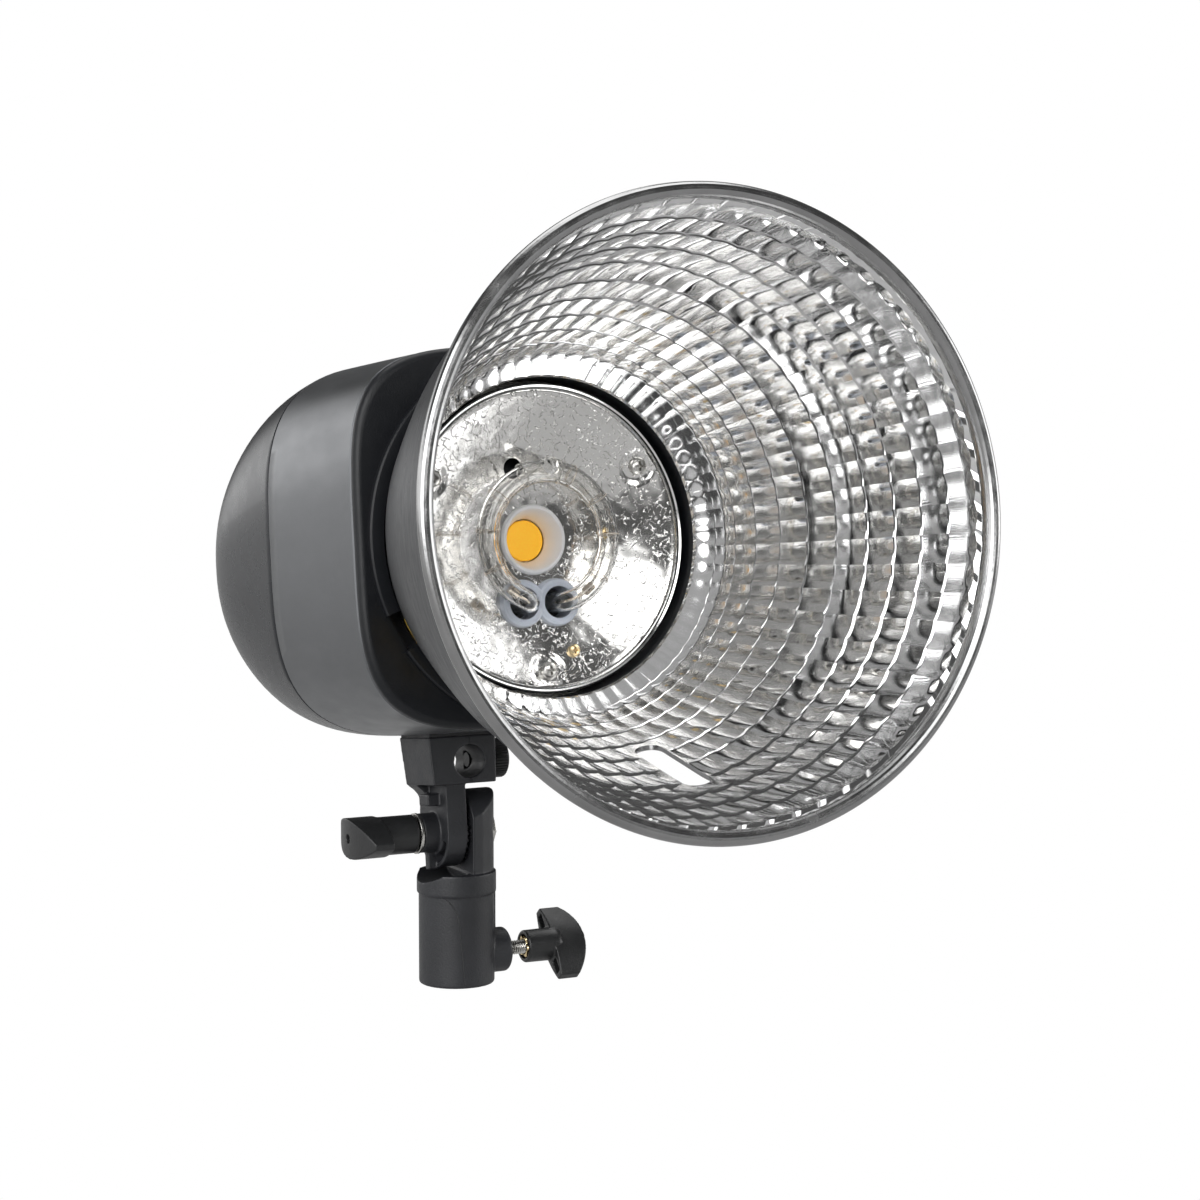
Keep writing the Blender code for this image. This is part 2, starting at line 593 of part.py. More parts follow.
def power_entry(optics):
    """The mains inlet, the rocker switch in its frame, and the fuse in its holder."""
    x, z = INLET_AT
    inlet = block((x - 12.0, 226.0, z - 8.0), (x + 12.0, PANEL_BACK + GAP + 1.6, z + 8.0))
    inlet = place("mains_inlet", inlet, optics, "black_plastic")
    flange = block((x - 13.4, PANEL_BACK + GAP, z - 10.0), (x + 13.4, PANEL_BACK + GAP + 2.4, z + 10.0), 0.6)
    boolean(inlet, "UNION", flange)
    boolean(inlet, "DIFFERENCE", block((x - 10.5, 231.0, z - 6.5), (x + 10.5, 255.0, z + 6.5)))
    for at in (-6.5, 0.0, 6.5):
        boolean(inlet, "UNION", block((x + at - 1.0, 228.0, z - 2.0), (x + at + 1.0, 244.0, z + 2.0)))
    x, z = ROCKER_AT
    frame = block((x - 9.4, 232.0, z - 5.9), (x + 9.4, PANEL_BACK + GAP + 1.0, z + 5.9))
    frame = place("rocker_frame", frame, optics, "black_plastic")
    rim = block((x - 10.8, PANEL_BACK + GAP, z - 7.4), (x + 10.8, PANEL_BACK + GAP + 1.6, z + 7.4), 0.5)
    boolean(frame, "UNION", rim)
    boolean(frame, "DIFFERENCE", block((x - 8.6, 236.0, z - 4.9), (x + 8.6, 255.0, z + 4.9)))
    outline = [(-7.6, -0.2), (-7.6, 4.4), (0.0, 3.0), (7.6, 1.6), (7.6, -0.2), (0.0, -3.0)]
    shape = prism([(x + across, PANEL_BACK - 1.6 + out) for across, out in outline], z - 4.5, z + 4.5, "Z")
    place("power_rocker", shape, optics, "red_lens")
    x, z = FUSE_AT
    profile = [(226.0, 3.4), (226.0, 4.9), (PANEL_BACK + GAP, 4.9), (PANEL_BACK + GAP, 6.4),
               (PANEL_BACK + 1.4, 6.0), (PANEL_BACK + 1.4, 3.4)]
    place("fuse_holder", turned(profile, "Y", 24, (x, z), ring=True), optics, "black_plastic")
    profile = [(240.0, 3.0), (PANEL_BACK + 1.8, 3.0), (PANEL_BACK + 1.8, 5.0), (PANEL_BACK + 4.6, 4.7)]
    cap = place("fuse_cap", turned(profile, "Y", 20, (x, z)), optics, "black_plastic")
    boolean(cap, "DIFFERENCE", block((x - 6.0, PANEL_BACK + 3.8, z - 0.5), (x + 6.0, 260.0, z + 0.5)))


# Bracket -------------------------------------------------------------------------------------


def rosette(face, tip, root, height):
    """Radial clamping teeth on an ear's face, from their root inside the ear to their tips."""
    count = 20
    rings = []
    for radius in (5.4, 10.4):
        rings.append([(face if step % 2 else tip, radius * math.cos(math.pi * step / count),
                       height + radius * math.sin(math.pi * step / count)) for step in range(2 * count)])
    back = [circle(radius, root, 2 * count, "X", (0.0, height)) for radius in (10.4, 5.4)]
    return loft(rings + back, closed=True)


def umbrella_block(head):
    """The upper bracket: the umbrella clamp under the housing and its ear on the tilt axis."""
    top = [(-14.1, -14.0), (9.4, -14.0), (9.4, 10.0), (-14.1, 10.0)]
    bottom = [(-12.6, -13.4), (9.2, -13.4), (9.2, 9.6), (-12.6, 9.6)]
    rings = [[(x, y, 31.0) for x, y in top], [(x, y, 15.5) for x, y in bottom]]
    body = place("umbrella_block", loft(rings), head, "grey_plastic")
    ear = [(-11.5, 17.0)]
    ear += [(11.5 * math.cos(a), 11.5 * math.sin(a)) for a in
            (math.radians(180 + 180 * step / 16) for step in range(17))]
    ear.append((11.5, 17.0))
    ear = [(min(y, 9.4), z) if z > 0 else (y, z) for y, z in ear]
    brace = [(-12.4, 16.5), (-12.2, 15.0), (-10.6, 13.8), (-9.2, 12.2), (-8.4, 10.2), (-6.0, 10.2),
             (-6.0, 16.5)]
    brace = loft([[(x, y, z) for x, z in brace] for y in (1.5, 9.2)])
    boolean(body, "UNION", prism(ear, -8.0, -1.0, "X"), rod(-13.6, -7.0, 6.4, "X", 24, chamfer=0.4),
            block((-12.2, -6.5, 8.7), (-7.0, 1.0, 12.5)), brace, rosette(-1.0, -0.25, -2.0, 0.0))
    boolean(body, "DIFFERENCE", rod(-30.0, 20.0, 4.4, "X", 18),
            rod(-30.0, 30.0, UMBRELLA_HOLE_R, "Y", 28, (0.0, UMBRELLA_HEIGHT)),
            rod(2.0, 20.0, 2.9, "X", 14, (0.0, UMBRELLA_HEIGHT)))
    for x, depth in bracket_screw_places():
        boolean(body, "DIFFERENCE", rod(26.8, 40.0, 1.85, "Z", 12, (x, depth - RIM_FORWARD)))


def umbrella_clamp(head):
    """The knurled knob, its screw and the pad that presses on an umbrella's shaft."""
    centre = (0.0, UMBRELLA_HEIGHT)
    ribs = 20
    rings = []
    for along, radius in ((12.7, 6.1), (13.1, 6.5), (17.2, 6.5), (17.7, 6.1)):
        ring = []
        for step in range(2 * ribs):
            reach = radius + (0.15 if step % 2 else -0.15)
            turn = math.pi * step / ribs
            ring.append((along, reach * math.cos(turn), UMBRELLA_HEIGHT + reach * math.sin(turn)))
        rings.append(ring)
    knob = place("umbrella_knob", loft(rings), head, "black_plastic")
    boolean(knob, "UNION", rod(9.8, 13.5, 4.6, "X", 20, centre))
    boolean(knob, "DIFFERENCE", rod(5.0, 15.2, 2.9, "X", 14, centre))
    place("umbrella_screw", rod(6.6, 14.9, 2.5, "X", 12, centre), head, "steel")
    place("umbrella_pad", rod(4.9, 6.3, 2.4, "X", 12, centre), head, "brass")


def stand_socket(stand):
    """The lower bracket: the spigot socket, its collar, the fixed ear and the lock screw's boss."""
    profile = [(0.0, SOCKET_R - 0.5), (0.5, SOCKET_R), (SOCKET_HEIGHT, SOCKET_R),
               (SOCKET_HEIGHT + 0.3, COLLAR_R), (36.9, COLLAR_R)]
    body = place("stand_socket", turned(profile, "Z", 40), stand, "grey_plastic")
    half = [(0.6, -12.2), (4.0, -11.6)]
    half += [(12.2 * math.cos(a), 12.2 * math.sin(a)) for a in
             (math.radians(-56 + 112 * step / 12) for step in range(13))]
    half += [(4.0, 11.6), (0.6, 12.2)]
    post = prism(half, 28.0, 66.0, "Z")
    place_top(body, post, stand)
    boolean(body, "UNION", rod(7.0, 17.2, 7.3, "X", 28, (0.0, LOCK_HEIGHT), chamfer=0.5),
            rosette(1.0, 0.25, 2.0, PIVOT_HEIGHT))
    saddle_cut(body)
    boolean(body, "DIFFERENCE", rod(-5.0, SOCKET_HEIGHT, SPIGOT_BORE_R, "Z", 36),
            rod(5.0, 25.0, 2.6, "X", 14, (0.0, LOCK_HEIGHT)),
            rod(-5.0, 20.0, BOLT_R + GAP, "X", 18, (0.0, PIVOT_HEIGHT)),
            hexagon(7.6, 20.0, 7.0, PIVOT_HEIGHT))


def place_top(body, post, stand):
    """Joins the fixed ear to the socket, with the ear's top rounded about the tilt axis."""
    ear = helper("fixed_ear", post, stand)
    outline = [(-13.3, 20.0)]
    outline += [(13.3 * math.cos(a), PIVOT_HEIGHT + 13.3 * math.sin(a)) for a in
                (math.radians(180 - 180 * step / 24) for step in range(25))]
    outline.append((13.3, 20.0))
    boolean(ear, "INTERSECT", prism(outline, -5.0, 20.0, "X"))
    modifier = body.modifiers.new("ear", "BOOLEAN")
    modifier.operation = "UNION"
    modifier.object = ear


def saddle_cut(body):
    """Lowers the collar's rim where the moving ear passes: round the tilt axis on the open side."""
    arc = [(16.0 * math.cos(a), PIVOT_HEIGHT + 16.0 * math.sin(a)) for a in
           (math.radians(215 + 110 * step / 12) for step in range(13))]
    outline = [(13.2, 60.0), (-13.2, 60.0)] + arc
    boolean(body, "DIFFERENCE", prism(outline, -20.0, 0.3, "X"))


def hexagon(start, end, radius, height):
    """A hexagonal bar along X at a height, with a flat underside."""
    points = [(radius * math.cos(math.radians(60 * i)), height + radius * math.sin(math.radians(60 * i)))
              for i in range(6)]
    return prism(points, start, end, "X")


def tilt_clamp(stand):
    """The bolt on the tilt axis, its washer, and the wing handle that turns on its thread."""
    centre = (0.0, PIVOT_HEIGHT)
    bolt = place("tilt_bolt", hexagon(7.9, 11.8, 6.6, PIVOT_HEIGHT), stand, "steel")
    boolean(bolt, "UNION", rod(-27.0, 9.0, BOLT_R, "X", 18, centre))
    place("tilt_washer", tube(-14.9, -13.9, 4.4, 6.6, "X", 20, centre), stand, "steel")
    handle = place("tilt_handle", rod(-31.0, -15.2, 6.3, "X", 28, centre), stand, "black_plastic")
    wing = leaf_wing("handle_wing", stand, 15.5, 6.3, 0.9, -40.0, -27.8, 4.0, PIVOT_HEIGHT)
    boolean(wing, "INTERSECT", rod(20.0, 80.0, 30.0, "Z", 72, (-8.0, 0.0)))
    modifier = handle.modifiers.new("wing", "BOOLEAN")
    modifier.operation = "UNION"
    modifier.object = wing
    boolean(handle, "DIFFERENCE", rod(-29.0, -10.0, BOLT_R + GAP, "X", 18, centre))


def leaf_wing(name, stand, half_length, half_width, blunt, start, end, lean, height):
    """A knob's leaf-shaped wing: two arcs in outline, blunt at the tips and leaning about the X axis."""
    reach = (half_length ** 2 + half_width ** 2) / (2 * half_width)
    spread = math.asin((half_length - blunt) / reach)
    turns = [spread - 2 * spread * step / 14 for step in range(15)]
    upper = [(reach * math.sin(a), half_width - reach + reach * math.cos(a)) for a in turns]
    lean = math.radians(lean)
    outline = [(y * math.cos(lean) - z * math.sin(lean), height + y * math.sin(lean) + z * math.cos(lean))
               for y, z in upper + [(-y, -z) for y, z in upper]]
    return helper(name, prism(outline, start, end, "X"), stand)


def lock_clamp(stand):
    """The screw that locks the socket on a spigot: its pad, thread, insert and half-moon knob."""
    centre = (0.0, LOCK_HEIGHT)
    place("lock_pad", rod(8.5, 9.9, 2.2, "X", 12, centre), stand, "white_plastic")
    place("lock_screw", rod(10.2, 31.0, 2.25, "X", 12, centre), stand, "steel")
    place("lock_insert", tube(24.0, 31.4, 2.6, 3.75, "X", 18, centre), stand, "brass")
    knob = place("lock_knob", rod(24.1, 36.0, 5.4, "X", 24, centre, chamfer=0.3), stand, "black_plastic")
    wing = leaf_wing("knob_wing", stand, 15.4, 4.6, 2.6, 33.4, 46.0, LOCK_TURN, LOCK_HEIGHT)
    crown = rod(-20.0, 20.0, 20.3, "Z", 64, (24.6, 0.0))
    turn_about_lock(crown)
    boolean(wing, "INTERSECT", crown)
    modifier = knob.modifiers.new("wing", "BOOLEAN")
    modifier.operation = "UNION"
    modifier.object = wing
    pockets = [block((30.0, low, -1.7), (41.0, high, 1.7)) for low, high in ((-11.2, -6.2), (6.2, 11.2))]
    for pocket in pockets:
        turn_about_lock(pocket)
    boolean(knob, "DIFFERENCE", rod(20.0, 31.8, 4.05, "X", 18, centre), *pockets)


def turn_about_lock(bm):
    """Turns a shape with the lock knob's wing and lifts it to the lock screw's axis."""
    bmesh.ops.rotate(bm, verts=bm.verts, matrix=Matrix.Rotation(math.radians(LOCK_TURN), 3, "X"))
    bmesh.ops.translate(bm, verts=bm.verts, vec=(0.0, 0.0, LOCK_HEIGHT))


def clear_scene():
    """Removes what a new scene starts with."""
    for old in list(bpy.data.objects):
        bpy.data.objects.remove(old, do_unlink=True)


def build():
    """Makes every sub-part in its frame."""
    clear_scene()
    stand = empty("stand_frame", (0.0, 0.0, 0.0))
    head = empty("head_frame", (0.0, 0.0, PIVOT_HEIGHT), (-HEAD_TILT, 0.0, 0.0), stand)
    optics = empty("optics_frame", (0.0, -RIM_FORWARD, AXIS_HEIGHT), parent=head)
    for make in (front_bezel, mid_shell, rear_cover, rear_panel, chassis, reflector, bayonet, lamp_base,
                 base_disc, flash_tube, modelling_lamp, electronics, rear_controls, power_entry):
        make(optics)
    for make in (umbrella_block, umbrella_clamp):
        make(head)
    for make in (stand_socket, tilt_clamp, lock_clamp):
        make(stand)


build()
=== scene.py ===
"""The looks of a monolight studio strobe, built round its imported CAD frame.

Lengths are millimetres unless a name says otherwise, and become metres when a mesh is made. Pieces on the
light's axis are modelled in the optics frame: x across, y the depth behind the reflector's rim plane, z up.
Pieces of the upper bracket are modelled in the head frame, on the tilt axis, and those of the lower
bracket in the frame of the stand's socket.
"""

import json
import math

import bmesh
import bpy
from mathutils import Matrix, Vector, noise


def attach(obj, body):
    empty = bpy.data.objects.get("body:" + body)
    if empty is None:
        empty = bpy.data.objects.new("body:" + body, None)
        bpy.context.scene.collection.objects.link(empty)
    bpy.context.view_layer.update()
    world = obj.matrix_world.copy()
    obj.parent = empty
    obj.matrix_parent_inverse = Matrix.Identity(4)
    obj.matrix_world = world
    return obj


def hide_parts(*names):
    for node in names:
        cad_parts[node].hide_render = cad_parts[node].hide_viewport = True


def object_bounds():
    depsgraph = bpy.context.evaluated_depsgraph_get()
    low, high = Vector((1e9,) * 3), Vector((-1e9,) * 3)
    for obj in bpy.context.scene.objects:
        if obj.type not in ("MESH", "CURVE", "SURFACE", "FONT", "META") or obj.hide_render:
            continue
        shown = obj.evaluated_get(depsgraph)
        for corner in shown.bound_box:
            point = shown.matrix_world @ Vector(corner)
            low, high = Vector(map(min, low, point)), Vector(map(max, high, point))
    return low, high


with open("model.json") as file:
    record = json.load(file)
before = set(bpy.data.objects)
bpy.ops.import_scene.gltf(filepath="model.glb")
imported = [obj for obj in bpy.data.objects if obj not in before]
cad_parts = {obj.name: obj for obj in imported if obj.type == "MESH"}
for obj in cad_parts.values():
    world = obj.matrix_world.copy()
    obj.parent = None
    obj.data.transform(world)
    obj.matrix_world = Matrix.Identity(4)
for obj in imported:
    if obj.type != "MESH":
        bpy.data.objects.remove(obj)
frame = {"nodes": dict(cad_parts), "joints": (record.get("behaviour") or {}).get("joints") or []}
cad_box = [list(corner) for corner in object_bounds()]
JOINTS = {joint["name"]: joint for joint in frame["joints"]}

MM = 0.001
PIVOT = Vector(JOINTS["head_tilt"]["pos_m"])
BACK = Vector(JOINTS["reflector_twist"]["axis"]).normalized()
HEAD_TILT = math.atan2(-BACK.z, BACK.y)
RIM_FORWARD = 189.4
AXIS_HEIGHT = 90.7
HEAD = Matrix.Translation(PIVOT) @ Matrix.Rotation(-HEAD_TILT, 4, "X")
OPTICS = HEAD @ Matrix.Translation(Vector((0.0, -RIM_FORWARD, AXIS_HEIGHT)) * MM)
STAND = Matrix.Identity(4)

# Reflector
RIM_R = 89.0
BEAD_R = 2.2
SHEET = 1.3
NECK_R = 49.6
NECK_END = 119.0
COLUMNS = 60
ROW_EDGES = (6.5, 16.3, 26.3, 37.0, 48.0, 59.0, 69.5, 79.5, 88.5, 96.0, 102.0, 106.0)
WALL_CURVE = ((6.5, 84.2), (16.3, 81.3), (26.3, 78.8), (37.0, 76.5), (48.0, 74.0), (60.0, 70.0),
              (80.0, 63.0), (100.0, 55.0), (106.0, 48.6))
SLOT_TURN = math.radians(9.5)
SLOT_ENDS = (72.2, 47.8)
SLOT_HALF = 4.3
NOTCHES = ((-152.0, 56.6), (-32.0, 56.6), (88.0, 55.2))

# Housing
BEZEL_FRONT = 111.3
BEZEL_BACK = 114.5
SEAM = 185.2
DOME_LENGTH = 75.0
DOME_CUT = 65.0
HALF_WIDTH = 61.0
WALL = 2.5
PANEL_FRONT = 243.8
PANEL_BACK = 246.3

# Lamp
DISC_R = 44.6
DISC_EDGE = 112.4
DISC_DEPTH = 8.5
RING_R = 20.3
TUBE_R = 3.2
RING_DEPTH = 109.5
LEG_X = 5.8
LEG_Z = -19.4

# Rear panel, x and z from the light's axis
DIAL_AT = (0.0, 14.0)
SYNC_AT = (24.0, 14.0)
LENS_AT = (-24.0, 14.0)
BUTTONS = (("test_button", -14.0), ("lamp_button", 0.0), ("slave_button", 14.0))
BUTTON_Z = -4.5
CELL_AT = (0.0, 30.2)
INLET_AT = (-14.5, -21.5)
ROCKER_AT = (17.0, -21.5)
FUSE_AT = (38.0, 2.0)
POST_ANGLES = (38.0, 142.0, 218.0, 322.0)

# Bracket
PIVOT_HEIGHT = 50.0
UMBRELLA_HEIGHT = 22.7
SOCKET_R = 12.35
COLLAR_R = 12.95
LOCK_HEIGHT = 9.2
LOCK_TURN = 49.0


# Materials -----------------------------------------------------------------------------------


def new_material(name):
    """An empty node material with its Principled shader."""
    made = bpy.data.materials.new(name)
    made.use_nodes = True
    return made, made.node_tree.nodes, made.node_tree.links, made.node_tree.nodes["Principled BSDF"]


def object_space(nodes, links, stretch=(1.0, 1.0, 1.0)):
    """Object coordinates, stretched so that a grain can run one way."""
    place = nodes.new("ShaderNodeTexCoord")
    mapping = nodes.new("ShaderNodeMapping")
    mapping.inputs["Scale"].default_value = stretch
    links.new(place.outputs["Object"], mapping.inputs["Vector"])
    return mapping.outputs["Vector"]


def noise_node(nodes, links, space, scale, detail=2.0, distortion=0.0):
    """A noise texture in a given space."""
    made = nodes.new("ShaderNodeTexNoise")
    made.inputs["Scale"].default_value = scale
    made.inputs["Detail"].default_value = detail
    made.inputs["Distortion"].default_value = distortion
    links.new(space, made.inputs["Vector"])
    return made.outputs["Fac"]


def remapped(nodes, links, value, low, high, start=0.3, end=0.7, curve="LINEAR"):
    """A value spread from one range, which is a noise texture's usual one, over another."""
    made = nodes.new("ShaderNodeMapRange")
    made.interpolation_type = curve
    for socket, bound in zip(("From Min", "From Max", "To Min", "To Max"), (start, end, low, high)):
        made.inputs[socket].default_value = bound
    links.new(value, made.inputs["Value"])
    return made.outputs["Result"]


def calculated(nodes, links, operation, first, second=None):
    """The result of a Math node on a value and, where asked, a number or a second value."""
    made = nodes.new("ShaderNodeMath")
    made.operation = operation
    links.new(first, made.inputs[0])
    if isinstance(second, float):
        made.inputs[1].default_value = second
    elif second is not None:
        links.new(second, made.inputs[1])
    return made.outputs["Value"]


def blended(nodes, links, value, low, high, start=0.0, end=1.0):
    """A colour between two colours, by a value."""
    ramp = nodes.new("ShaderNodeValToRGB")
    for stop, position, colour in zip(ramp.color_ramp.elements, (start, end), (low, high)):
        stop.position = position
        stop.color = (*colour, 1.0)
    links.new(value, ramp.inputs["Fac"])
    return ramp.outputs["Color"]


def raised(nodes, links, shader, height, distance):
    """Bumps a surface by a height, in metres at most the distance."""
    bump = nodes.new("ShaderNodeBump")
    bump.inputs["Distance"].default_value = distance
    links.new(height, bump.inputs["Height"])
    links.new(bump.outputs["Normal"], shader.inputs["Normal"])


def shown_apart(nodes, links, lit, seen, output):
    """Shows one shader to the camera and the other to every other ray."""
    path = nodes.new("ShaderNodeLightPath")
    mix = nodes.new("ShaderNodeMixShader")
    links.new(path.outputs["Is Camera Ray"], mix.inputs["Fac"])
    links.new(lit, mix.inputs[1])
    links.new(seen, mix.inputs[2])
    links.new(mix.outputs["Shader"], output.inputs["Surface"])


def surface(name, colour, roughness, metallic=0.0, grain=(900.0, 0.00004), spread=0.06, mottle=0.12,
            stretch=(1.0, 1.0, 1.0), coat=0.0, specular=0.5):
    """A moulded, painted or metal surface: mottled colour, uneven gloss and a fine raised grain."""
    made, nodes, links, shader = new_material(name)
    space = object_space(nodes, links, stretch)
    mottling = blended(nodes, links, noise_node(nodes, links, space, 60.0, 4.0),
                       [c * (1 - mottle) for c in colour],
                       [min(1.0, c * (1 + mottle)) for c in colour], 0.3, 0.7)
    links.new(mottling, shader.inputs["Base Color"])
    uneven = noise_node(nodes, links, space, 160.0, 3.0)
    links.new(remapped(nodes, links, uneven, roughness - spread, roughness + spread),
              shader.inputs["Roughness"])
    shader.inputs["Metallic"].default_value = metallic
    shader.inputs["Coat Weight"].default_value = coat
    shader.inputs["Specular IOR Level"].default_value = specular
    raised(nodes, links, shader, noise_node(nodes, links, space, grain[0], 2.0), grain[1])
    return made


def clear_glass():
    """The quartz of the flash tube, with faint drawing lines."""
    made, nodes, links, shader = new_material("tube_glass")
    space = object_space(nodes, links)
    shader.inputs["Base Color"].default_value = (0.99, 0.985, 0.97, 1.0)
    shader.inputs["Transmission Weight"].default_value = 1.0
    shader.inputs["IOR"].default_value = 1.46
    gloss = remapped(nodes, links, noise_node(nodes, links, space, 240.0), 0.0, 0.03)
    links.new(gloss, shader.inputs["Roughness"])
    raised(nodes, links, shader, noise_node(nodes, links, space, 300.0, 1.0), 0.00003)
    return made


def phosphor():
    """The LED's yellow phosphor: a fine even grain, with a weak steady emission as painted glow, the LED
    itself unlit.
    """
    made, nodes, links, shader = new_material("led_phosphor_painted_glow")
    grain = noise_node(nodes, links, object_space(nodes, links), 2500.0, 3.0)
    yellow = blended(nodes, links, grain, (0.93, 0.43, 0.012), (0.98, 0.55, 0.03))
    links.new(yellow, shader.inputs["Base Color"])
    # painted glow: the phosphor's yellow given off as a steady weak emission, not light from a lit LED
    links.new(yellow, shader.inputs["Emission Color"])
    shader.inputs["Emission Strength"].default_value = 0.32
    shader.inputs["Roughness"].default_value = 0.5
    shader.inputs["Coat Weight"].default_value = 0.4
    return made


def wormed_plate():
    """Bright sheet embossed all over with short wandering ridges."""
    made, nodes, links, shader = new_material("crinkled_plate")
    space = object_space(nodes, links)
    tone = blended(nodes, links, noise_node(nodes, links, space, 90.0, 3.0), (0.70, 0.69, 0.67),
                   (0.82, 0.815, 0.80))
    links.new(tone, shader.inputs["Base Color"])
    shader.inputs["Metallic"].default_value = 1.0
    gloss = remapped(nodes, links, noise_node(nodes, links, space, 130.0), 0.09, 0.17)
    links.new(gloss, shader.inputs["Roughness"])
    field = noise_node(nodes, links, space, 430.0, 0.0, 0.9)
    away = calculated(nodes, links, "ABSOLUTE", calculated(nodes, links, "SUBTRACT", field, 0.5))
    ridge = remapped(nodes, links, away, 1.0, 0.0, 0.0, 0.055, "SMOOTHSTEP")
    gaps = remapped(nodes, links, noise_node(nodes, links, space, 760.0, 0.0), 0.0, 1.0, 0.42, 0.5,
                    "SMOOTHSTEP")
    raised(nodes, links, shader, calculated(nodes, links, "MULTIPLY", ridge, gaps), 0.00013)
    return made


M = {
    "bezel": surface("bezel_black", (0.007, 0.0078, 0.0095), 0.4, grain=(2600.0, 0.00005), specular=0.3),
    "shell": surface("shell_metallic_paint", (0.15, 0.155, 0.163), 0.33, 0.9, grain=(3200.0, 0.00002),
                     stretch=(1.0, 0.35, 1.0), spread=0.04, mottle=0.05),
    "cover": surface("cover_charcoal", (0.013, 0.0142, 0.017), 0.28, 0.3, grain=(3000.0, 0.000018),
                     spread=0.03, mottle=0.05, coat=0.1),
    "panel": surface("panel_black", (0.014, 0.0145, 0.016), 0.46, grain=(2400.0, 0.00004)),
    "bracket": surface("bracket_grained", (0.016, 0.0168, 0.0195), 0.45, grain=(1500.0, 0.00008), mottle=0.2),
    "knob": surface("knob_satin", (0.014, 0.0145, 0.015), 0.38, grain=(1700.0, 0.00007), mottle=0.15),
    "steel": surface("zinc_plated_steel", (0.62, 0.61, 0.58), 0.26, 1.0, grain=(1200.0, 0.00002)),
    "brass": surface("turned_brass", (0.78, 0.62, 0.36), 0.24, 1.0, grain=(1200.0, 0.00002)),
    "mirror": surface("facet_mirror", (0.8, 0.8, 0.8), 0.08, 1.0, grain=(200.0, 0.00001), spread=0.03,
                      mottle=0.05),
    "spun": surface("spun_outside", (0.06, 0.062, 0.067), 0.33, 1.0, grain=(500.0, 0.00003),
                    stretch=(1.0, 6.0, 1.0), spread=0.06, mottle=0.1),
    "bead": surface("rolled_rim", (0.36, 0.36, 0.36), 0.22, 1.0, grain=(600.0, 0.00003), spread=0.06,
                    mottle=0.12),
    "crinkle": wormed_plate(),
    "trim": surface("trim_bright", (0.8, 0.8, 0.79), 0.14, 1.0, grain=(900.0, 0.00002)),
    "glass": clear_glass(),
    "ceramic": surface("grommet_white", (0.62, 0.67, 0.76), 0.28, grain=(800.0, 0.00003), mottle=0.04,
                       coat=0.3),
    "white": surface("cup_white", (0.9, 0.9, 0.9), 0.35, grain=(900.0, 0.00003), mottle=0.02),
    "phosphor": phosphor(),
    "lens": surface("red_lens", (0.42, 0.012, 0.01), 0.12, grain=(500.0, 0.00001), coat=0.6, mottle=0.05),
    "board": surface("solder_mask", (0.02, 0.12, 0.05), 0.35, grain=(700.0, 0.00008), mottle=0.3),
    "sleeve": surface("capacitor_sleeve", (0.02, 0.03, 0.09), 0.3, grain=(300.0, 0.00004)),
    "copper": surface("enamelled_copper", (0.55, 0.24, 0.1), 0.3, 1.0, grain=(900.0, 0.0002),
                      stretch=(1, 8, 1)),
    "print": surface("printed_grey", (0.55, 0.56, 0.58), 0.5, grain=(2000.0, 0.00001), mottle=0.03),
    "wire": surface("trigger_wire_metal", (0.55, 0.49, 0.42), 0.28, 1.0, grain=(1500.0, 0.00001)),
    # the thin raised yellow arc near the reflector's neck
    "amber": surface("yellow_arc_amber", (0.78, 0.50, 0.04), 0.4, grain=(900.0, 0.00002), mottle=0.08),
}


# Mesh tools ----------------------------------------------------------------------------------


def loft(rings, closed=False, open_ends=False):
    """A bmesh through rings of points: joined in a loop, capped at both ends, or left open."""
    bm = bmesh.new()
    made = [[bm.verts.new(point) for point in ring] for ring in rings]
    pairs = list(zip(made, made[1:]))
    if closed:
        pairs.append((made[-1], made[0]))
    elif not open_ends:
        bm.faces.new(made[0])
        bm.faces.new(made[-1])
    for low, high in pairs:
        for i in range(len(low)):
            j = (i + 1) % len(low)
            bm.faces.new((low[i], low[j], high[j], high[i]))
    return bm


def on_axis(along, first, second, axis):
    """A point from its distance along an axis and its two other coordinates, in X, Y, Z order."""
    if axis == "X":
        return (along, first, second)
    if axis == "Y":
        return (first, along, second)
    return (first, second, along)


def polar(radius, turn, centre=(0.0, 0.0)):
    """A flat point at a radius and an angle about a centre."""
    return (centre[0] + radius * math.cos(turn), centre[1] + radius * math.sin(turn))


def sweep(start, end, steps):
    """Angles from one to another, given in degrees and returned in radians."""
    return [math.radians(start + (end - start) * step / steps) for step in range(steps + 1)]


def arc(radius, start, end, steps, height=0.0):
    """Points of an arc, from one angle to another in degrees, about a centre at a height."""
    return [polar(radius, turn, (0.0, height)) for turn in sweep(start, end, steps)]


def circle(radius, along, steps, axis, centre=(0.0, 0.0)):
    """Points of a circle at a distance along an axis."""
    return [on_axis(along, *polar(radius, 2 * math.pi * i / steps, centre), axis) for i in range(steps)]


def turned(profile, axis, steps=64, centre=(0.0, 0.0), ring=False):
    """A turned bmesh. The profile lists (along, radius); a ring's profile closes on itself."""
    return loft([circle(r, along, steps, axis, centre) for along, r in profile], closed=ring)


def ribbed(profile, ribs, axis, centre):
    """A turned bmesh with ribs along it. The profile lists (along, radius, groove depth)."""
    rings = []
    for along, radius, groove in profile:
        ring = [polar(radius - groove * (step % 4 > 1), math.pi * step / (2 * ribs), centre)
                for step in range(4 * ribs)]
        rings.append([on_axis(along, *point, axis) for point in ring])
    return loft(rings)


def rod(start, end, radius, axis, steps=48, centre=(0.0, 0.0), chamfer=0.0):
    """A cylinder along an axis, with chamfered ends where asked."""
    profile = [(start, radius), (end, radius)]
    if chamfer:
        profile = [(start, radius - chamfer), (start + chamfer, radius),
                   (end - chamfer, radius), (end, radius - chamfer)]
    return turned(profile, axis, steps, centre)


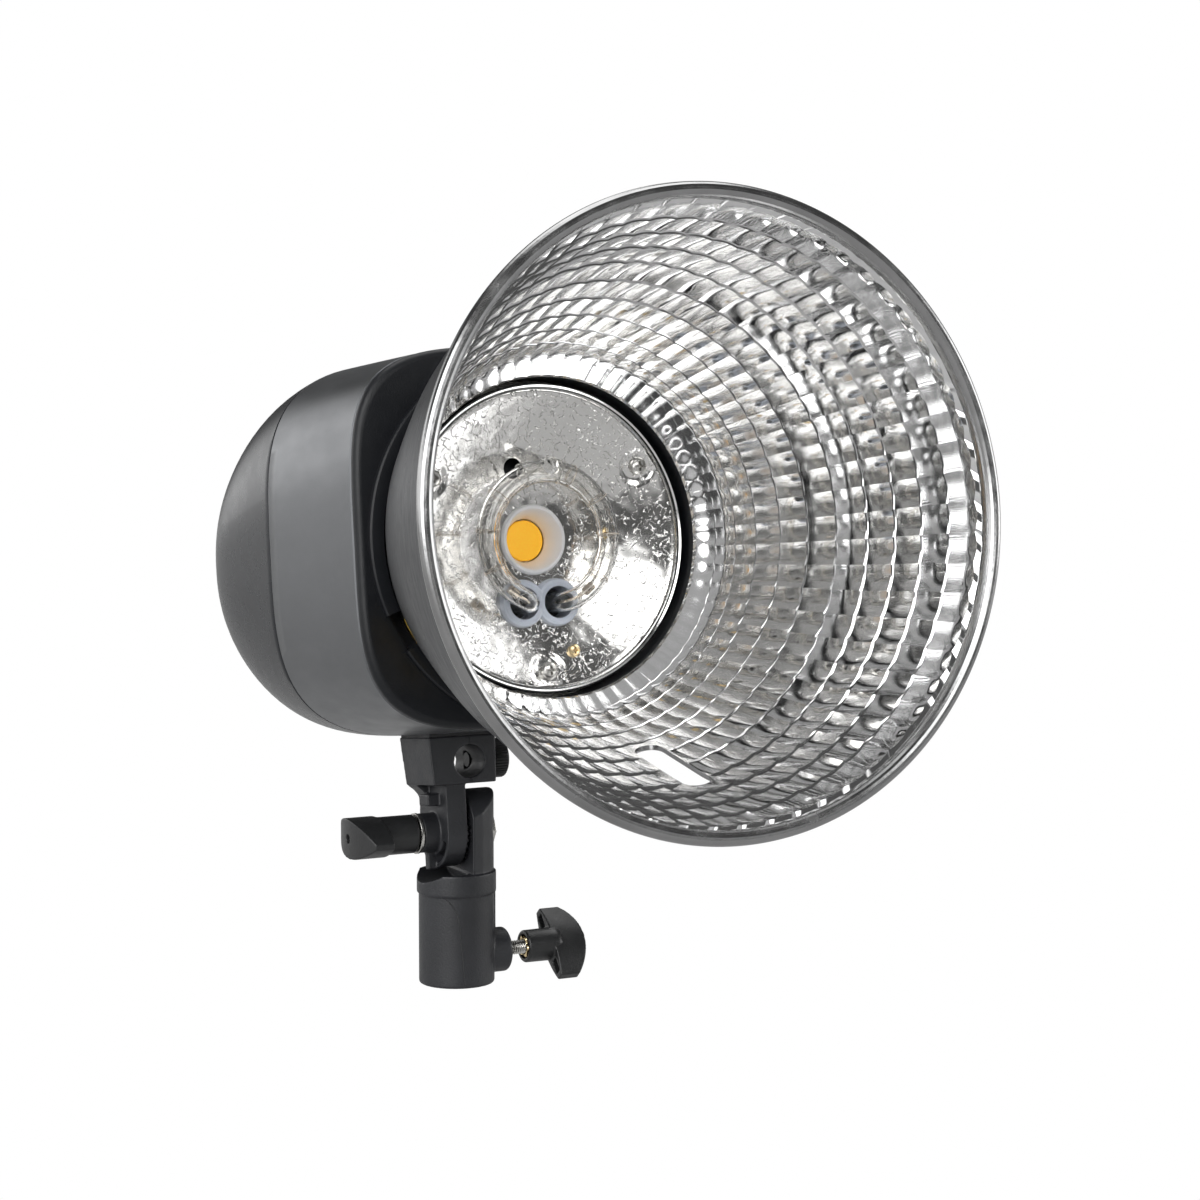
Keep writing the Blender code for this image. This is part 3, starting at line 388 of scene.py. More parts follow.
def block(low, high):
    """A box between two corners."""
    bm = bmesh.new()
    bmesh.ops.create_cube(bm, size=1.0)
    bmesh.ops.scale(bm, vec=Vector(high) - Vector(low), verts=bm.verts)
    bmesh.ops.translate(bm, vec=(Vector(high) + Vector(low)) / 2, verts=bm.verts)
    return bm


def prism(outline, start, end, axis):
    """An outline in the two coordinates across an axis, extruded along it."""
    return loft([[on_axis(along, *point, axis) for point in outline] for along in (start, end)])


def make(name, bm, matrix, finish, sharp=30.0):
    """An object in the scene from a bmesh in millimetres, in a frame given by a matrix."""
    bmesh.ops.recalc_face_normals(bm, faces=bm.faces)
    bmesh.ops.scale(bm, vec=(MM, MM, MM), verts=bm.verts)
    mesh = bpy.data.meshes.new(name)
    bm.to_mesh(mesh)
    bm.free()
    mesh.shade_smooth()
    mesh.set_sharp_from_angle(angle=math.radians(sharp))
    mesh.materials.append(M[finish])
    made = bpy.data.objects.new(name, mesh)
    made.matrix_world = matrix
    bpy.context.scene.collection.objects.link(made)
    return made


def bake(obj, sharp=30.0):
    """Applies an object's modifiers to its mesh and shades it smooth again."""
    bpy.context.view_layer.update()
    evaluated = obj.evaluated_get(bpy.context.evaluated_depsgraph_get())
    mesh = bpy.data.meshes.new_from_object(evaluated)
    obj.modifiers.clear()
    obj.data = mesh
    mesh.shade_smooth()
    mesh.set_sharp_from_angle(angle=math.radians(sharp))


def merge(obj, operation, other):
    """Applies another object to an object by a Boolean and takes it away."""
    modifier = obj.modifiers.new("boolean", "BOOLEAN")
    modifier.operation = operation
    modifier.object = other
    bake(obj)
    bpy.data.objects.remove(other, do_unlink=True)


def combine(obj, operation, *shapes):
    """Applies bmeshes in the object's own frame to it, one Boolean each."""
    for bm in shapes:
        merge(obj, operation, make(obj.name + "_tool", bm, obj.matrix_world.copy(), "steel"))


def rounded(obj, width=0.3, segments=2, sharp=35.0):
    """Rounds an object's sharp edges by a width in millimetres."""
    modifier = obj.modifiers.new("edges", "BEVEL")
    modifier.width = width * MM
    modifier.segments = segments
    modifier.limit_method = "ANGLE"
    modifier.angle_limit = math.radians(38)
    bake(obj, sharp)


def moulded(obj, voxel=0.3, passes=5):
    """Gives a joined shape the small fillets of a moulding, by remeshing and relaxing it."""
    remesh = obj.modifiers.new("remesh", "REMESH")
    remesh.mode = "VOXEL"
    remesh.voxel_size = voxel * MM
    relax = obj.modifiers.new("relax", "SMOOTH")
    relax.factor = 0.5
    relax.iterations = passes
    bake(obj, 80.0)
    obj.data.materials.clear()


def settle(obj, body, finish, *nodes):
    """Lets a finished piece ride on its body, take its slot and stand for CAD nodes."""
    if not obj.data.materials or obj.data.materials[0] is None:
        obj.data.materials.clear()
        obj.data.materials.append(M[finish])
    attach(obj, body)
    if nodes:
        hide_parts(*nodes)
    return obj


def piece(name, bm, finish, body, *nodes, space=OPTICS, sharp=30.0):
    """A piece whose shape needs no more work, from its bmesh to its body."""
    settle(make(name, bm, space, finish, sharp), body, finish, *nodes)


def superellipse(half_width, half_height, exponent, depth, lift=0.0, steps=144):
    """Points of a rounded rectangle across the light's axis, evenly spread along its outline."""
    fine = 1440
    outline = []
    for i in range(fine):
        angle = 2 * math.pi * (i + 0.5) / fine
        cos = math.cos(angle)
        sin = math.sin(angle)
        outline.append((half_width * math.copysign(abs(cos) ** (2 / exponent), cos),
                        half_height * math.copysign(abs(sin) ** (2 / exponent), sin)))
    lengths = [0.0]
    for a, b in zip(outline, outline[1:] + outline[:1]):
        lengths.append(lengths[-1] + math.hypot(b[0] - a[0], b[1] - a[1]))
    points = []
    at = 0
    for i in range(steps):
        goal = lengths[-1] * i / steps
        while lengths[at + 1] < goal:
            at += 1
        points.append((outline[at][0], depth, outline[at][1] + lift))
    return points


def shell_ring(depth, inset=0.0):
    """The housing's outline at a depth, moved inwards by an inset."""
    if depth <= SEAM:
        share = (depth - BEZEL_BACK) / (SEAM - BEZEL_BACK)
        return superellipse(HALF_WIDTH - inset, 57.5 + 2.7 * share - inset, 4.15 - 0.65 * share, depth,
                            0.7 + 0.5 * share)
    back = depth - SEAM
    half_width = HALF_WIDTH * (1 - (back / DOME_LENGTH) ** 6) ** (1 / 6)
    half_height = 60.2 * (1 - (back / DOME_LENGTH) ** 3) ** (1 / 3)
    return superellipse(half_width - inset, half_height - inset, 3.5 - 1.2 * back / DOME_CUT, depth,
                        1.2 - 1.7 * back / DOME_CUT)


# Housing -------------------------------------------------------------------------------------


def sector(angle, half_angle, inner, outer, start, end):
    """A piece of a ring across the light's axis, centred on an angle in degrees."""
    outline = []
    for radius, sides in ((inner, (-1, 0, 1)), (outer, (1, 0.5, 0, -0.5, -1))):
        outline += [polar(radius, math.radians(angle + side * half_angle)) for side in sides]
    return prism(outline, start, end, "Y")


def front_bezel():
    """The moulded front plate, its mouth stepped for the bayonet, with three notches."""
    rings = []
    for turn in sweep(0, 90, 6):
        inset = 2.2 * (1 - math.sin(turn))
        rings.append(superellipse(HALF_WIDTH - inset, 57.5 - inset, 4.15,
                                  BEZEL_FRONT + 2.2 * (1 - math.cos(turn)), 0.7))
    rings.append(superellipse(HALF_WIDTH, 57.5, 4.15, BEZEL_BACK - 0.3, 0.7))
    rings.append(superellipse(HALF_WIDTH - 0.5, 57.0, 4.15, BEZEL_BACK, 0.7))
    bezel = make("front_bezel_detail", loft(rings), OPTICS, "bezel")
    mouth = [(108.0, 53.6), (BEZEL_FRONT + 0.02, 53.0), (BEZEL_FRONT + 0.8, 52.4), (118.0, 52.4)]
    combine(bezel, "DIFFERENCE", turned(mouth, "Y", 160))
    for angle, outer in NOTCHES:
        combine(bezel, "DIFFERENCE", sector(angle, 6.0, 50.0, outer, 108.0, 118.0))
    combine(bezel, "DIFFERENCE", sector(180.0, 1.3, 50.0, 53.4, 108.0, 118.0))
    settle(bezel, "head", "bezel", "front_bezel")
    profile = [(111.8, 53.0), (109.7, 53.1), (109.2, 53.6), (109.1, 55.0), (109.4, 57.2), (109.9, 57.7),
               (111.8, 57.9)]
    collar = make("mouth_collar", turned(profile, "Y", 160, ring=True), OPTICS, "bezel")
    for angle, outer in NOTCHES:
        combine(collar, "DIFFERENCE", sector(angle, 6.0, 50.0, outer + 6.0, 105.0, 112.6))
    settle(collar, "head", "bezel")
    throat = turned([(115.2, 54.6), (115.2, 57.2), (127.0, 57.2), (127.0, 54.6)], "Y", 128, ring=True)
    settle(make("bayonet_throat", throat, OPTICS, "panel"), "head", "bezel")


def mid_shell():
    """The metallic barrel, its edges eased, with a shallow groove behind the bezel."""
    rings = [shell_ring(BEZEL_BACK + 0.35, 0.9), shell_ring(BEZEL_BACK + 0.5, 0.45),
             shell_ring(BEZEL_BACK + 1.1)]
    rings += [shell_ring(BEZEL_BACK + (SEAM - BEZEL_BACK) * share) for share in (0.15, 0.35, 0.55, 0.75, 0.9)]
    rings += [shell_ring(SEAM - 0.6), shell_ring(SEAM - 0.15, 0.25), shell_ring(SEAM, 0.8)]
    rings += [shell_ring(depth, WALL) for depth in (SEAM, 150.0, BEZEL_BACK + 0.35)]
    piece("mid_shell_detail", loft(rings, closed=True), "shell", "head", "mid_shell")


def rear_cover():
    """The charcoal dome behind the seam, with the lip round the control panel."""
    start = SEAM + 0.45
    rings = [shell_ring(start, 0.8), shell_ring(start + 0.12, 0.3), shell_ring(start + 0.6, 0.04)]
    rings += [shell_ring(SEAM + 63.0 * step / 22) for step in range(1, 23)]
    for turn in sweep(0, 90, 4)[1:]:
        rings.append(shell_ring(SEAM + 63.0 + 2.0 * math.sin(turn), 1.6 * (1 - math.cos(turn))))
    lip = ((51.6, DOME_CUT), (51.1, DOME_CUT - 0.2), (50.7, DOME_CUT - 0.7), (50.6, PANEL_FRONT - SEAM))
    rings += [superellipse(half, half - 12.0, 2.4, SEAM + back, -0.5) for half, back in lip]
    rings += [superellipse(46.5, 34.6, 2.4, depth, -0.5) for depth in (PANEL_FRONT - 0.1, PANEL_FRONT - 2.0)]
    rings += [shell_ring(SEAM + back, WALL) for back in (50, 36, 20)]
    rings.append(shell_ring(start, WALL))
    piece("rear_cover_detail", loft(rings, closed=True), "cover", "head", "rear_cover")
    seal = [shell_ring(SEAM - 2.0, inset) for inset in (2.7, 1.1)]
    seal += [shell_ring(SEAM + 2.0, inset) for inset in (1.1, 2.7)]
    piece("seam_tongue", loft(seal, closed=True), "panel", "head")


# Reflector -----------------------------------------------------------------------------------


def wall_radius(depth):
    """The reflector's inner radius at a depth, by smooth steps between its measured stations."""
    points = list(WALL_CURVE)
    if depth <= points[0][0]:
        return points[0][1]
    for i in range(len(points) - 1):
        (d0, r0), (d1, r1) = points[i], points[i + 1]
        if depth <= d1:
            before = points[i - 1] if i else (2 * d0 - d1, 2 * r0 - r1)
            after = points[i + 2] if i + 2 < len(points) else (2 * d1 - d0, 2 * r1 - r0)
            slope0 = (r1 - before[1]) / (d1 - before[0])
            slope1 = (after[1] - r0) / (after[0] - d0)
            t = (depth - d0) / (d1 - d0)
            run = d1 - d0
            return ((2 * t**3 - 3 * t**2 + 1) * r0 + (t**3 - 2 * t**2 + t) * run * slope0
                    + (3 * t**2 - 2 * t**3) * r1 + (t**3 - t**2) * run * slope1)
    return points[-1][1]


def beside_slot(angle, radius, depth):
    """How much of a facet's dish is left near the umbrella slot: none at its edge, all of it further off."""
    if math.sin(SLOT_TURN - angle) < 0:
        return 1.0
    past = max(0.0, depth - SLOT_ENDS[0], SLOT_ENDS[1] - depth)
    away = (math.hypot(radius * math.cos(SLOT_TURN - angle), past) - SLOT_HALF) / 2.5
    away = min(max(away, 0.0), 1.0)
    return away * away * (3 - 2 * away)


def facet_rings():
    """Rings of the faceted wall from the neck to the rim: every facet is a small dished mirror."""
    per_column = 6
    per_row = 5
    steps = COLUMNS * per_column
    rings = []
    rows = list(zip(ROW_EDGES, ROW_EDGES[1:]))
    for row, (front, back) in reversed(list(enumerate(rows))):
        for step in range(per_row + 1):
            u = 1 - step / per_row
            depth = front + (back - front) * u
            radius = wall_radius(depth)
            flute = 0.0056 * radius
            row_dish = 0.02 * (back - front)
            ledge = 0.05 * (back - front) * (1 - u)
            ring = []
            for i in range(steps):
                v = (i % per_column) / per_column - 0.5
                dish = flute * (1 - (2 * v) ** 2) * (1.0 if row else min(1.0, 0.25 + 3.0 * u)) \
                    + row_dish * 4 * u * (1 - u) - ledge
                angle = 2 * math.pi * i / steps + 0.02
                dish *= beside_slot(angle, radius, depth)
                end = depth - (1.1 * (1 - (2 * v) ** 2) if row == 0 and step == per_row else 0.0)
                ring.append(on_axis(end, *polar(radius + dish, angle), "Y"))
            rings.append(ring)
    return rings


def reflector():
    """The spun dish: faceted mirror inside, satin outside, rolled rim, umbrella slot and bayonet collar."""
    steps = COLUMNS * 6
    rings = [circle(NECK_R - SHEET, depth, steps, "Y") for depth in (NECK_END, 112.0, 106.9)]
    rings += facet_rings()
    rings += [circle(radius, depth, steps, "Y") for depth, radius in ((4.9, 84.9), (4.2, 85.0), (3.9, 84.6))]
    bands = len(rings) - 1
    for angle in sweep(195, -40, 12):
        rings.append(circle(RIM_R - BEAD_R + BEAD_R * math.cos(angle), BEAD_R - BEAD_R * math.sin(angle),
                            steps, "Y"))
    bead_end = len(rings) - 1
    outside = [(depth, wall_radius(depth) + SHEET + 0.25) for depth in
               (7.5, 12.0, 20.0, 28.0, 36.0, 44.0, 52.0, 60.0, 68.0, 76.0, 84.0, 92.0, 98.0, 102.0)]
    outside += [(105.0, 51.6), (106.2, 50.0), (107.2, NECK_R), (117.6, NECK_R), (118.4, NECK_R),
                (NECK_END, 48.9)]
    rings += [circle(radius, depth, steps, "Y") for depth, radius in outside]
    bm = loft(rings, closed=True)
    bowl = make("reflector_dish", bm, OPTICS, "mirror", sharp=13.0)
    bowl.data.materials.append(M["bead"])
    bowl.data.materials.append(M["spun"])
    bowl.data.materials.append(M["bezel"])
    for polygon in bowl.data.polygons:
        band = polygon.index // steps
        polygon.material_index = 3 if band < 2 else 0 if band < bands else 1 if band < bead_end + 1 else 2
    outline = [point for end, start in zip(SLOT_ENDS, (0, 180))
               for point in arc(SLOT_HALF, start, start + 180, 18, end)]
    slot = loft([[(x, depth, z) for x, depth in outline] for z in (-95.0, -50.0)])
    bmesh.ops.rotate(slot, verts=slot.verts, matrix=Matrix.Rotation(-SLOT_TURN, 3, "Y"))
    combine(bowl, "DIFFERENCE", slot)
    to_slot = Matrix.Rotation(SLOT_TURN, 3, "Y")
    for polygon in bowl.data.polygons:
        x, depth, z = (to_slot @ polygon.center) / MM
        cut = z < 0 and abs(x) < SLOT_HALF + 0.1 and SLOT_ENDS[1] - 5.0 < depth < SLOT_ENDS[0] + 5.0
        if cut and abs((to_slot @ polygon.normal).z) < 0.25:
            polygon.material_index = 1
    bowl.data.set_sharp_from_angle(angle=math.radians(13))
    settle(bowl, "reflector", "mirror", "reflector_bowl")
    collar = turned([(112.6, 49.95), (112.6, 50.7), (113.0, 50.95), (118.4, 50.95), (118.4, 49.95)], "Y", 160,
                    ring=True)
    collar = make("bayonet_collar", collar, OPTICS, "panel")
    for angle in (-182.0, -62.0, 58.0):
        combine(collar, "UNION", sector(angle, 5.0, 50.3, 54.4, 116.0, 118.2))
    settle(collar, "reflector", "panel", "reflector_collar")
    # A thin raised yellow arc round the dish's outside near the neck.
    mark = [(depth, wall_radius(depth) + SHEET + 0.25 + lift)
            for depth, lift in ((96.6, 0.0), (96.6, 0.25), (101.2, 0.25), (101.2, 0.0))]
    band = loft([[(r * math.cos(angle), depth, r * math.sin(angle)) for depth, r in mark]
                 for angle in (math.radians(-157 + 27 * step / 24) for step in range(25))])
    piece("yellow_arc", band, "amber", "reflector")


# Lamp ----------------------------------------------------------------------------------------


def disc_depth(radius):
    """The depth of the lamp disc's front at a radius: a shallow dish."""
    return DISC_EDGE + DISC_DEPTH * (1 - (radius / DISC_R) ** 2)


def unevenness(x, z):
    """The slight waviness of the thin pressed sheet."""
    return 0.12 * noise.noise((x * 0.09, z * 0.09, 3.7)) + 0.05 * noise.noise((x * 0.3, z * 0.3, 9.1))


def dimple(x, z):
    """How far the sheet is pressed in round the three edge screws."""
    depth = 0.0
    for sx, sz in disc_screws():
        distance = math.hypot(x - sx, z - sz)
        if distance < 5.6:
            depth = max(depth, min(1.0, (5.6 - distance) / 1.2))
    return depth


def disc_screws():
    """The three screws near the disc's edge, as x and z."""
    return [polar(40.0, math.radians(a)) for a in (32, 152, 270)]


def base_disc():
    """The crinkled bright dish behind the flash tube."""
    steps = 300
    rings = []
    radius = 9.6
    while radius < DISC_R - 0.3:
        rings.append([(x, y + unevenness(x, z) + 0.5 * dimple(x, z), z)
                      for x, y, z in circle(radius, disc_depth(radius), steps, "Y")])
        radius += 0.6
    rings.append(circle(DISC_R, DISC_EDGE + 0.1, steps, "Y"))
    rings.append(circle(DISC_R, DISC_EDGE + 0.8, steps, "Y"))
    rings += [circle(r, disc_depth(r) + 1.0, steps, "Y") for r in (36.0, 27.0, 18.0, 9.6)]
    disc = make("crinkled_disc", loft(rings, closed=True), OPTICS, "crinkle", sharp=60.0)
    for side in (-1, 1):
        combine(disc, "DIFFERENCE", rod(105.0, 130.0, 6.6, "Y", 48, (side * LEG_X, LEG_Z)))
    combine(disc, "DIFFERENCE", rod(105.0, 130.0, 3.0, "Y", 48, (-6.5, 21.9)))
    disc.data.set_sharp_from_angle(angle=math.radians(60))
    settle(disc, "head", "crinkle", "base_disc")
    profile = [(113.2, 44.7), (112.2, 44.75), (111.6, 45.0), (111.6, 45.25), (112.5, 45.4), (112.5, 45.6),
               (111.3, 45.8), (111.0, 46.3), (111.2, 46.8), (111.9, 47.0), (113.2, 47.0)]
    piece("grooved_trim", turned(profile, "Y", 200, ring=True), "trim", "head", "trim_ring")
    profile = [(114.2, 44.2), (114.2, 46.0), (126.7, 46.0), (126.7, 11.6), (124.4, 11.6), (124.4, 33.0)]
    piece("lamp_base_cup", turned(profile, "Y", 128, ring=True), "bezel", "head", "lamp_base")


def cross_screw(name, at, face, radius, length, finish, space, node, dome=0.45):
    """A pan-head screw on the head along the light's axis, its head towards -Y with a cross recess."""
    x, z = at
    head = radius * 0.55
    profile = [(face - head - dome, 0.25 * radius), (face - head - 0.8 * dome, 0.6 * radius),
               (face - head, 0.88 * radius), (face - head + 0.35, radius), (face, radius),
               (face, 0.5 * radius), (face + length, 0.5 * radius)]
    screw = make(name, turned(profile, "Y", 40, at), space, finish)
    front = face - head - dome
    for long, wide in ((0.62, 0.16), (0.16, 0.62)):
        cut = loft([[(x + sx * long * radius * share, depth, z + sz * wide * radius * share)
                     for sx, sz in ((-1, -1), (1, -1), (1, 1), (-1, 1))]
                    for depth, share in ((front - 0.6, 1.15), (front + 0.75 * head, 0.55))])
        combine(screw, "DIFFERENCE", cut)
    settle(screw, "head", finish, node)


def lamp_screws():
    """The three screws at the disc's edge and the two small brass ones nearer the lamp."""
    for number, at in enumerate(disc_screws(), 1):
        cross_screw(f"edge_screw_{number}", at, 113.9, 2.6, 6.0, "steel", OPTICS, f"disc_screw_{number}")
    for number, at in enumerate(((9.3, -34.4), (23.1, 1.1)), 1):
        face = disc_depth(math.hypot(*at)) - 0.25
        cross_screw(f"holder_screw_{number}", at, face, 1.9, 4.0, "brass", OPTICS, f"clip_screw_{number}",
                    0.3)


def on_ring(angle, depth=RING_DEPTH, radius=RING_R):
    """A point over the flash ring's centre line."""
    return Vector(on_axis(depth, *polar(radius, angle), "Y"))


def round_tube(angle, turn, reach):
    """A point round the flash tube: at an angle of the ring, turned from straight out, at a distance."""
    out = Vector((math.cos(angle), 0.0, math.sin(angle)))
    return on_ring(angle) + (out * math.cos(turn) + Vector((0.0, math.sin(turn), 0.0))) * reach


def tube_path():
    """The flash tube's centre line: a leg, the open ring and the other leg."""
    bend = 5.0
    leg_angle = math.radians(-90) + LEG_X / RING_R
    start = leg_angle + bend / RING_R
    end = math.pi - start
    half = [on_ring(leg_angle, depth) for depth in (125.4, 122.0, 118.5)]
    for turn in sweep(0, 90, 9)[:-1]:
        half.append(on_ring(leg_angle + bend * (1 - math.cos(turn)) / RING_R,
                            RING_DEPTH + bend * (1 - math.sin(turn))))
    ring = [on_ring(start + (end - start) * step / 96) for step in range(97)]
    return half + ring + [Vector((-p.x, p.y, p.z)) for p in reversed(half)]


def pipe_rings(path, radius, steps, closed=False):
    """Rings of a round bar along a path."""
    rings = []
    side = Vector((0.0, 1.0, 0.3))
    for i, point in enumerate(path):
        before = path[i - 1] if closed or i > 0 else point
        after = path[(i + 1) % len(path)] if closed or i < len(path) - 1 else point
        along = (after - before).normalized()
        side = (side - along * side.dot(along)).normalized()
        other = along.cross(side)
        turns = [2 * math.pi * step / steps for step in range(steps)]
        rings.append([point + side * radius * math.cos(a) + other * radius * math.sin(a) for a in turns])
    return rings


def flash_tube():
    """The clear ring tube with its bore, electrodes, exhaust tip, trigger wire and grommets."""
    path = tube_path()
    outer = pipe_rings(path, TUBE_R, 28)
    inner = pipe_rings(path, TUBE_R - 0.75, 28)
    glass = make("ring_tube_glass", loft(outer + inner[::-1], closed=True), OPTICS, "glass")
    settle(glass, "head", "glass", "flash_tube")
    for name, points in (("left", path[::-1]), ("right", path)):
        rings = pipe_rings(points[2:15], 0.45, 12)
        rings += pipe_rings(points[13:17], 1.35, 12)
        piece(f"electrode_{name}", loft(rings), "wire", "head")
    top = math.radians(88)
    out = Vector((math.cos(top), -2.2, math.sin(top))).normalized()
    centre = on_ring(top) + out * (TUBE_R - 0.5)
    tip = [centre + out * along for along in (0.0, 0.8, 1.9, 2.8, 3.4, 3.7)]
    rings = [pipe_rings(tip, radius, 24)[i] for i, radius in enumerate((2.9, 2.3, 2.0, 1.6, 0.9, 0.2))]
    piece("exhaust_tip", loft(rings), "glass", "head")
    for number, degrees in enumerate((78, 112), 1):
        ring = [round_tube(math.radians(degrees), 2 * math.pi * step / 40, TUBE_R + 0.32)
                for step in range(40)]
        piece(f"tube_clip_{number}", loft(pipe_rings(ring, 0.3, 10, True), closed=True), "steel", "head")
    trigger_wire()
    grommets()


def trigger_wire():
    """The fine wire inside the ring, with turns round the glass."""
    reach = TUBE_R + 0.3
    route = []
    for step in range(141):
        degrees = -52 + 284 * step / 140
        wander = 0.35 * math.sin(0.21 * degrees)
        route.append(on_ring(math.radians(degrees), RING_DEPTH + wander - 0.4, RING_R - reach))
    wire = make("trigger_wire_hoop", loft(pipe_rings(route, 0.19, 8)), OPTICS, "wire")
    settle(wire, "head", "wire", "trigger_wire")
    for number, turn in enumerate((-38, 0, 32, 64, 140, 172, 205), 1):
        loop = [round_tube(math.radians(turn + 2.2 * share), math.pi * (1 - 3 * share), reach - 0.05)
                for share in (step / 48 for step in range(49))]
        piece(f"wire_turn_{number}", loft(pipe_rings(loop, 0.15, 8)), "wire", "head")


def grommets():
    """The two joined white grommets that the tube's legs go through."""
    places = [(side * LEG_X, LEG_Z) for side in (-1, 1)]
    profile = [(124.0, 7.3), (117.6, 7.3), (116.5, 6.9), (116.1, 6.1), (116.3, 4.9), (124.0, 4.7)]
    left, right = (turned(profile, "Y", 64, at, ring=True) for at in places)
    pair = make("grommet_pair", left, OPTICS, "ceramic")
    combine(pair, "UNION", right)
    combine(pair, "DIFFERENCE", *(rod(110.0, 130.0, 4.7, "Y", 64, at) for at in places))
    settle(pair, "head", "ceramic", "tube_grommets")
    for name, at in zip(("left", "right"), places):
        piece(f"leg_sleeve_{name}", rod(123.4, 126.6, 4.3, "Y", 32, at), "panel", "head")


def modelling_lamp():
    """The LED's white cup and its phosphor disc."""
    profile = [(119.7, 9.1), (119.3, 9.5), (119.3, 10.2), (119.9, 10.7), (121.5, 10.8), (126.7, 10.6),
               (126.7, 6.7), (125.9, 6.7), (123.0, 7.9)]
    piece("led_white_cup", turned(profile, "Y", 96, ring=True), "white", "head", "led_cup")
    profile = [(128.2, 6.2), (126.6, 6.25), (126.3, 6.0), (126.15, 3.0), (126.1, 0.05)]
    piece("led_phosphor_disc", turned(profile, "Y", 64), "phosphor", "head", "led_chip")


# Rear panel ----------------------------------------------------------------------------------


def post_places():
    """The four panel screws, as x and z."""
    return [(40.0 * math.cos(math.radians(a)), 37.8 * math.sin(math.radians(a))) for a in POST_ANGLES]


def rear_panel():
    """The control panel with its cut-outs, printed dial scale and screws."""
    rings = [superellipse(50.2 - inset, 38.2 - inset, 2.4, depth, -0.5)
             for depth, inset in ((PANEL_FRONT, 0.0), (PANEL_BACK - 0.4, 0.0), (PANEL_BACK, 0.4))]
    panel = make("panel_plate", loft(rings), OPTICS, "panel")
    holes = [(DIAL_AT, 3.6), (SYNC_AT, 4.9), (LENS_AT, 2.4), (CELL_AT, 3.9), (FUSE_AT, 5.2)]
    holes += [((x, BUTTON_Z), 3.2) for _, x in BUTTONS]
    for at, radius in holes:
        combine(panel, "DIFFERENCE", rod(240.0, 250.0, radius, "Y", 40, at))
    for (x, z), (half_x, half_z) in ((INLET_AT, (12.3, 8.3)), (ROCKER_AT, (9.7, 6.2))):
        combine(panel, "DIFFERENCE", block((x - half_x, 240.0, z - half_z), (x + half_x, 250.0, z + half_z)))
    settle(panel, "head", "panel", "rear_panel")
    for number in range(11):
        centre = polar(14.2, math.radians(-45 + 27 * number), DIAL_AT)
        size = 0.55 if number % 5 else 0.9
        dot = rod(PANEL_BACK - 0.05, PANEL_BACK + 0.04, size, "Y", 20, centre)
        piece(f"dial_dot_{number + 1:02d}", dot, "print", "head")
    face = PANEL_BACK + 0.3
    turned_round = OPTICS @ Matrix.Translation((0.0, 2 * face * MM, 0.0)) @ Matrix.Scale(-1, 4, (0, 1, 0))
    for number, at in enumerate(post_places(), 1):
        cross_screw(f"panel_fixing_{number}", at, face, 3.0, 2.4, "steel", turned_round,
                    f"panel_screw_{number}", 0.35)


def rear_controls():
    """The knurled dial, three buttons, two lenses and the sync socket."""
    x, z = DIAL_AT
    profile = ((246.6, 11.6, 0.22), (246.9, 11.9, 0.22), (256.6, 11.1, 0.22), (257.6, 10.7, 0.22),
               (258.2, 9.9, 0.0), (258.4, 9.2, 0.0), (258.0, 8.6, 0.0), (257.9, 0.4, 0.0))
    piece("dial_knob", ribbed(profile, 36, "Y", DIAL_AT), "knob", "power_dial", "power_dial")
    pointer = block((x - 0.6, 257.7, z + 3.0), (x + 0.6, 258.25, z + 9.6))
    piece("dial_pointer", pointer, "print", "power_dial")
    for name, x in BUTTONS:
        profile = [(240.0, 2.85), (247.6, 2.85), (248.1, 2.7), (248.4, 2.3), (248.5, 1.4), (248.45, 0.1)]
        piece(name + "_cap", turned(profile, "Y", 48, (x, BUTTON_Z)), "white", name, name)
    profile = [(241.0, 2.1), (246.8, 2.1), (247.4, 1.8), (247.7, 1.1), (247.75, 0.1)]
    piece("indicator_window", turned(profile, "Y", 40, LENS_AT), "lens", "head", "indicator_lens")
    dome = [(241.0, 3.6)] + [(246.8 + 3.4 * math.sin(a), 0.05 + 3.55 * math.cos(a)) for a in sweep(0, 90, 8)]
    piece("sensor_dome", turned(dome, "Y", 48, CELL_AT), "lens", "head", "slave_cell_dome")
    profile = [(237.0, 3.4), (237.0, 4.6), (246.6, 4.6), (246.6, 6.3), (247.0, 6.4), (247.9, 6.0),
               (248.2, 5.3), (248.2, 3.9), (247.7, 3.4)]
    piece("sync_jack_ring", turned(profile, "Y", 64, SYNC_AT, ring=True), "steel", "head", "sync_socket")


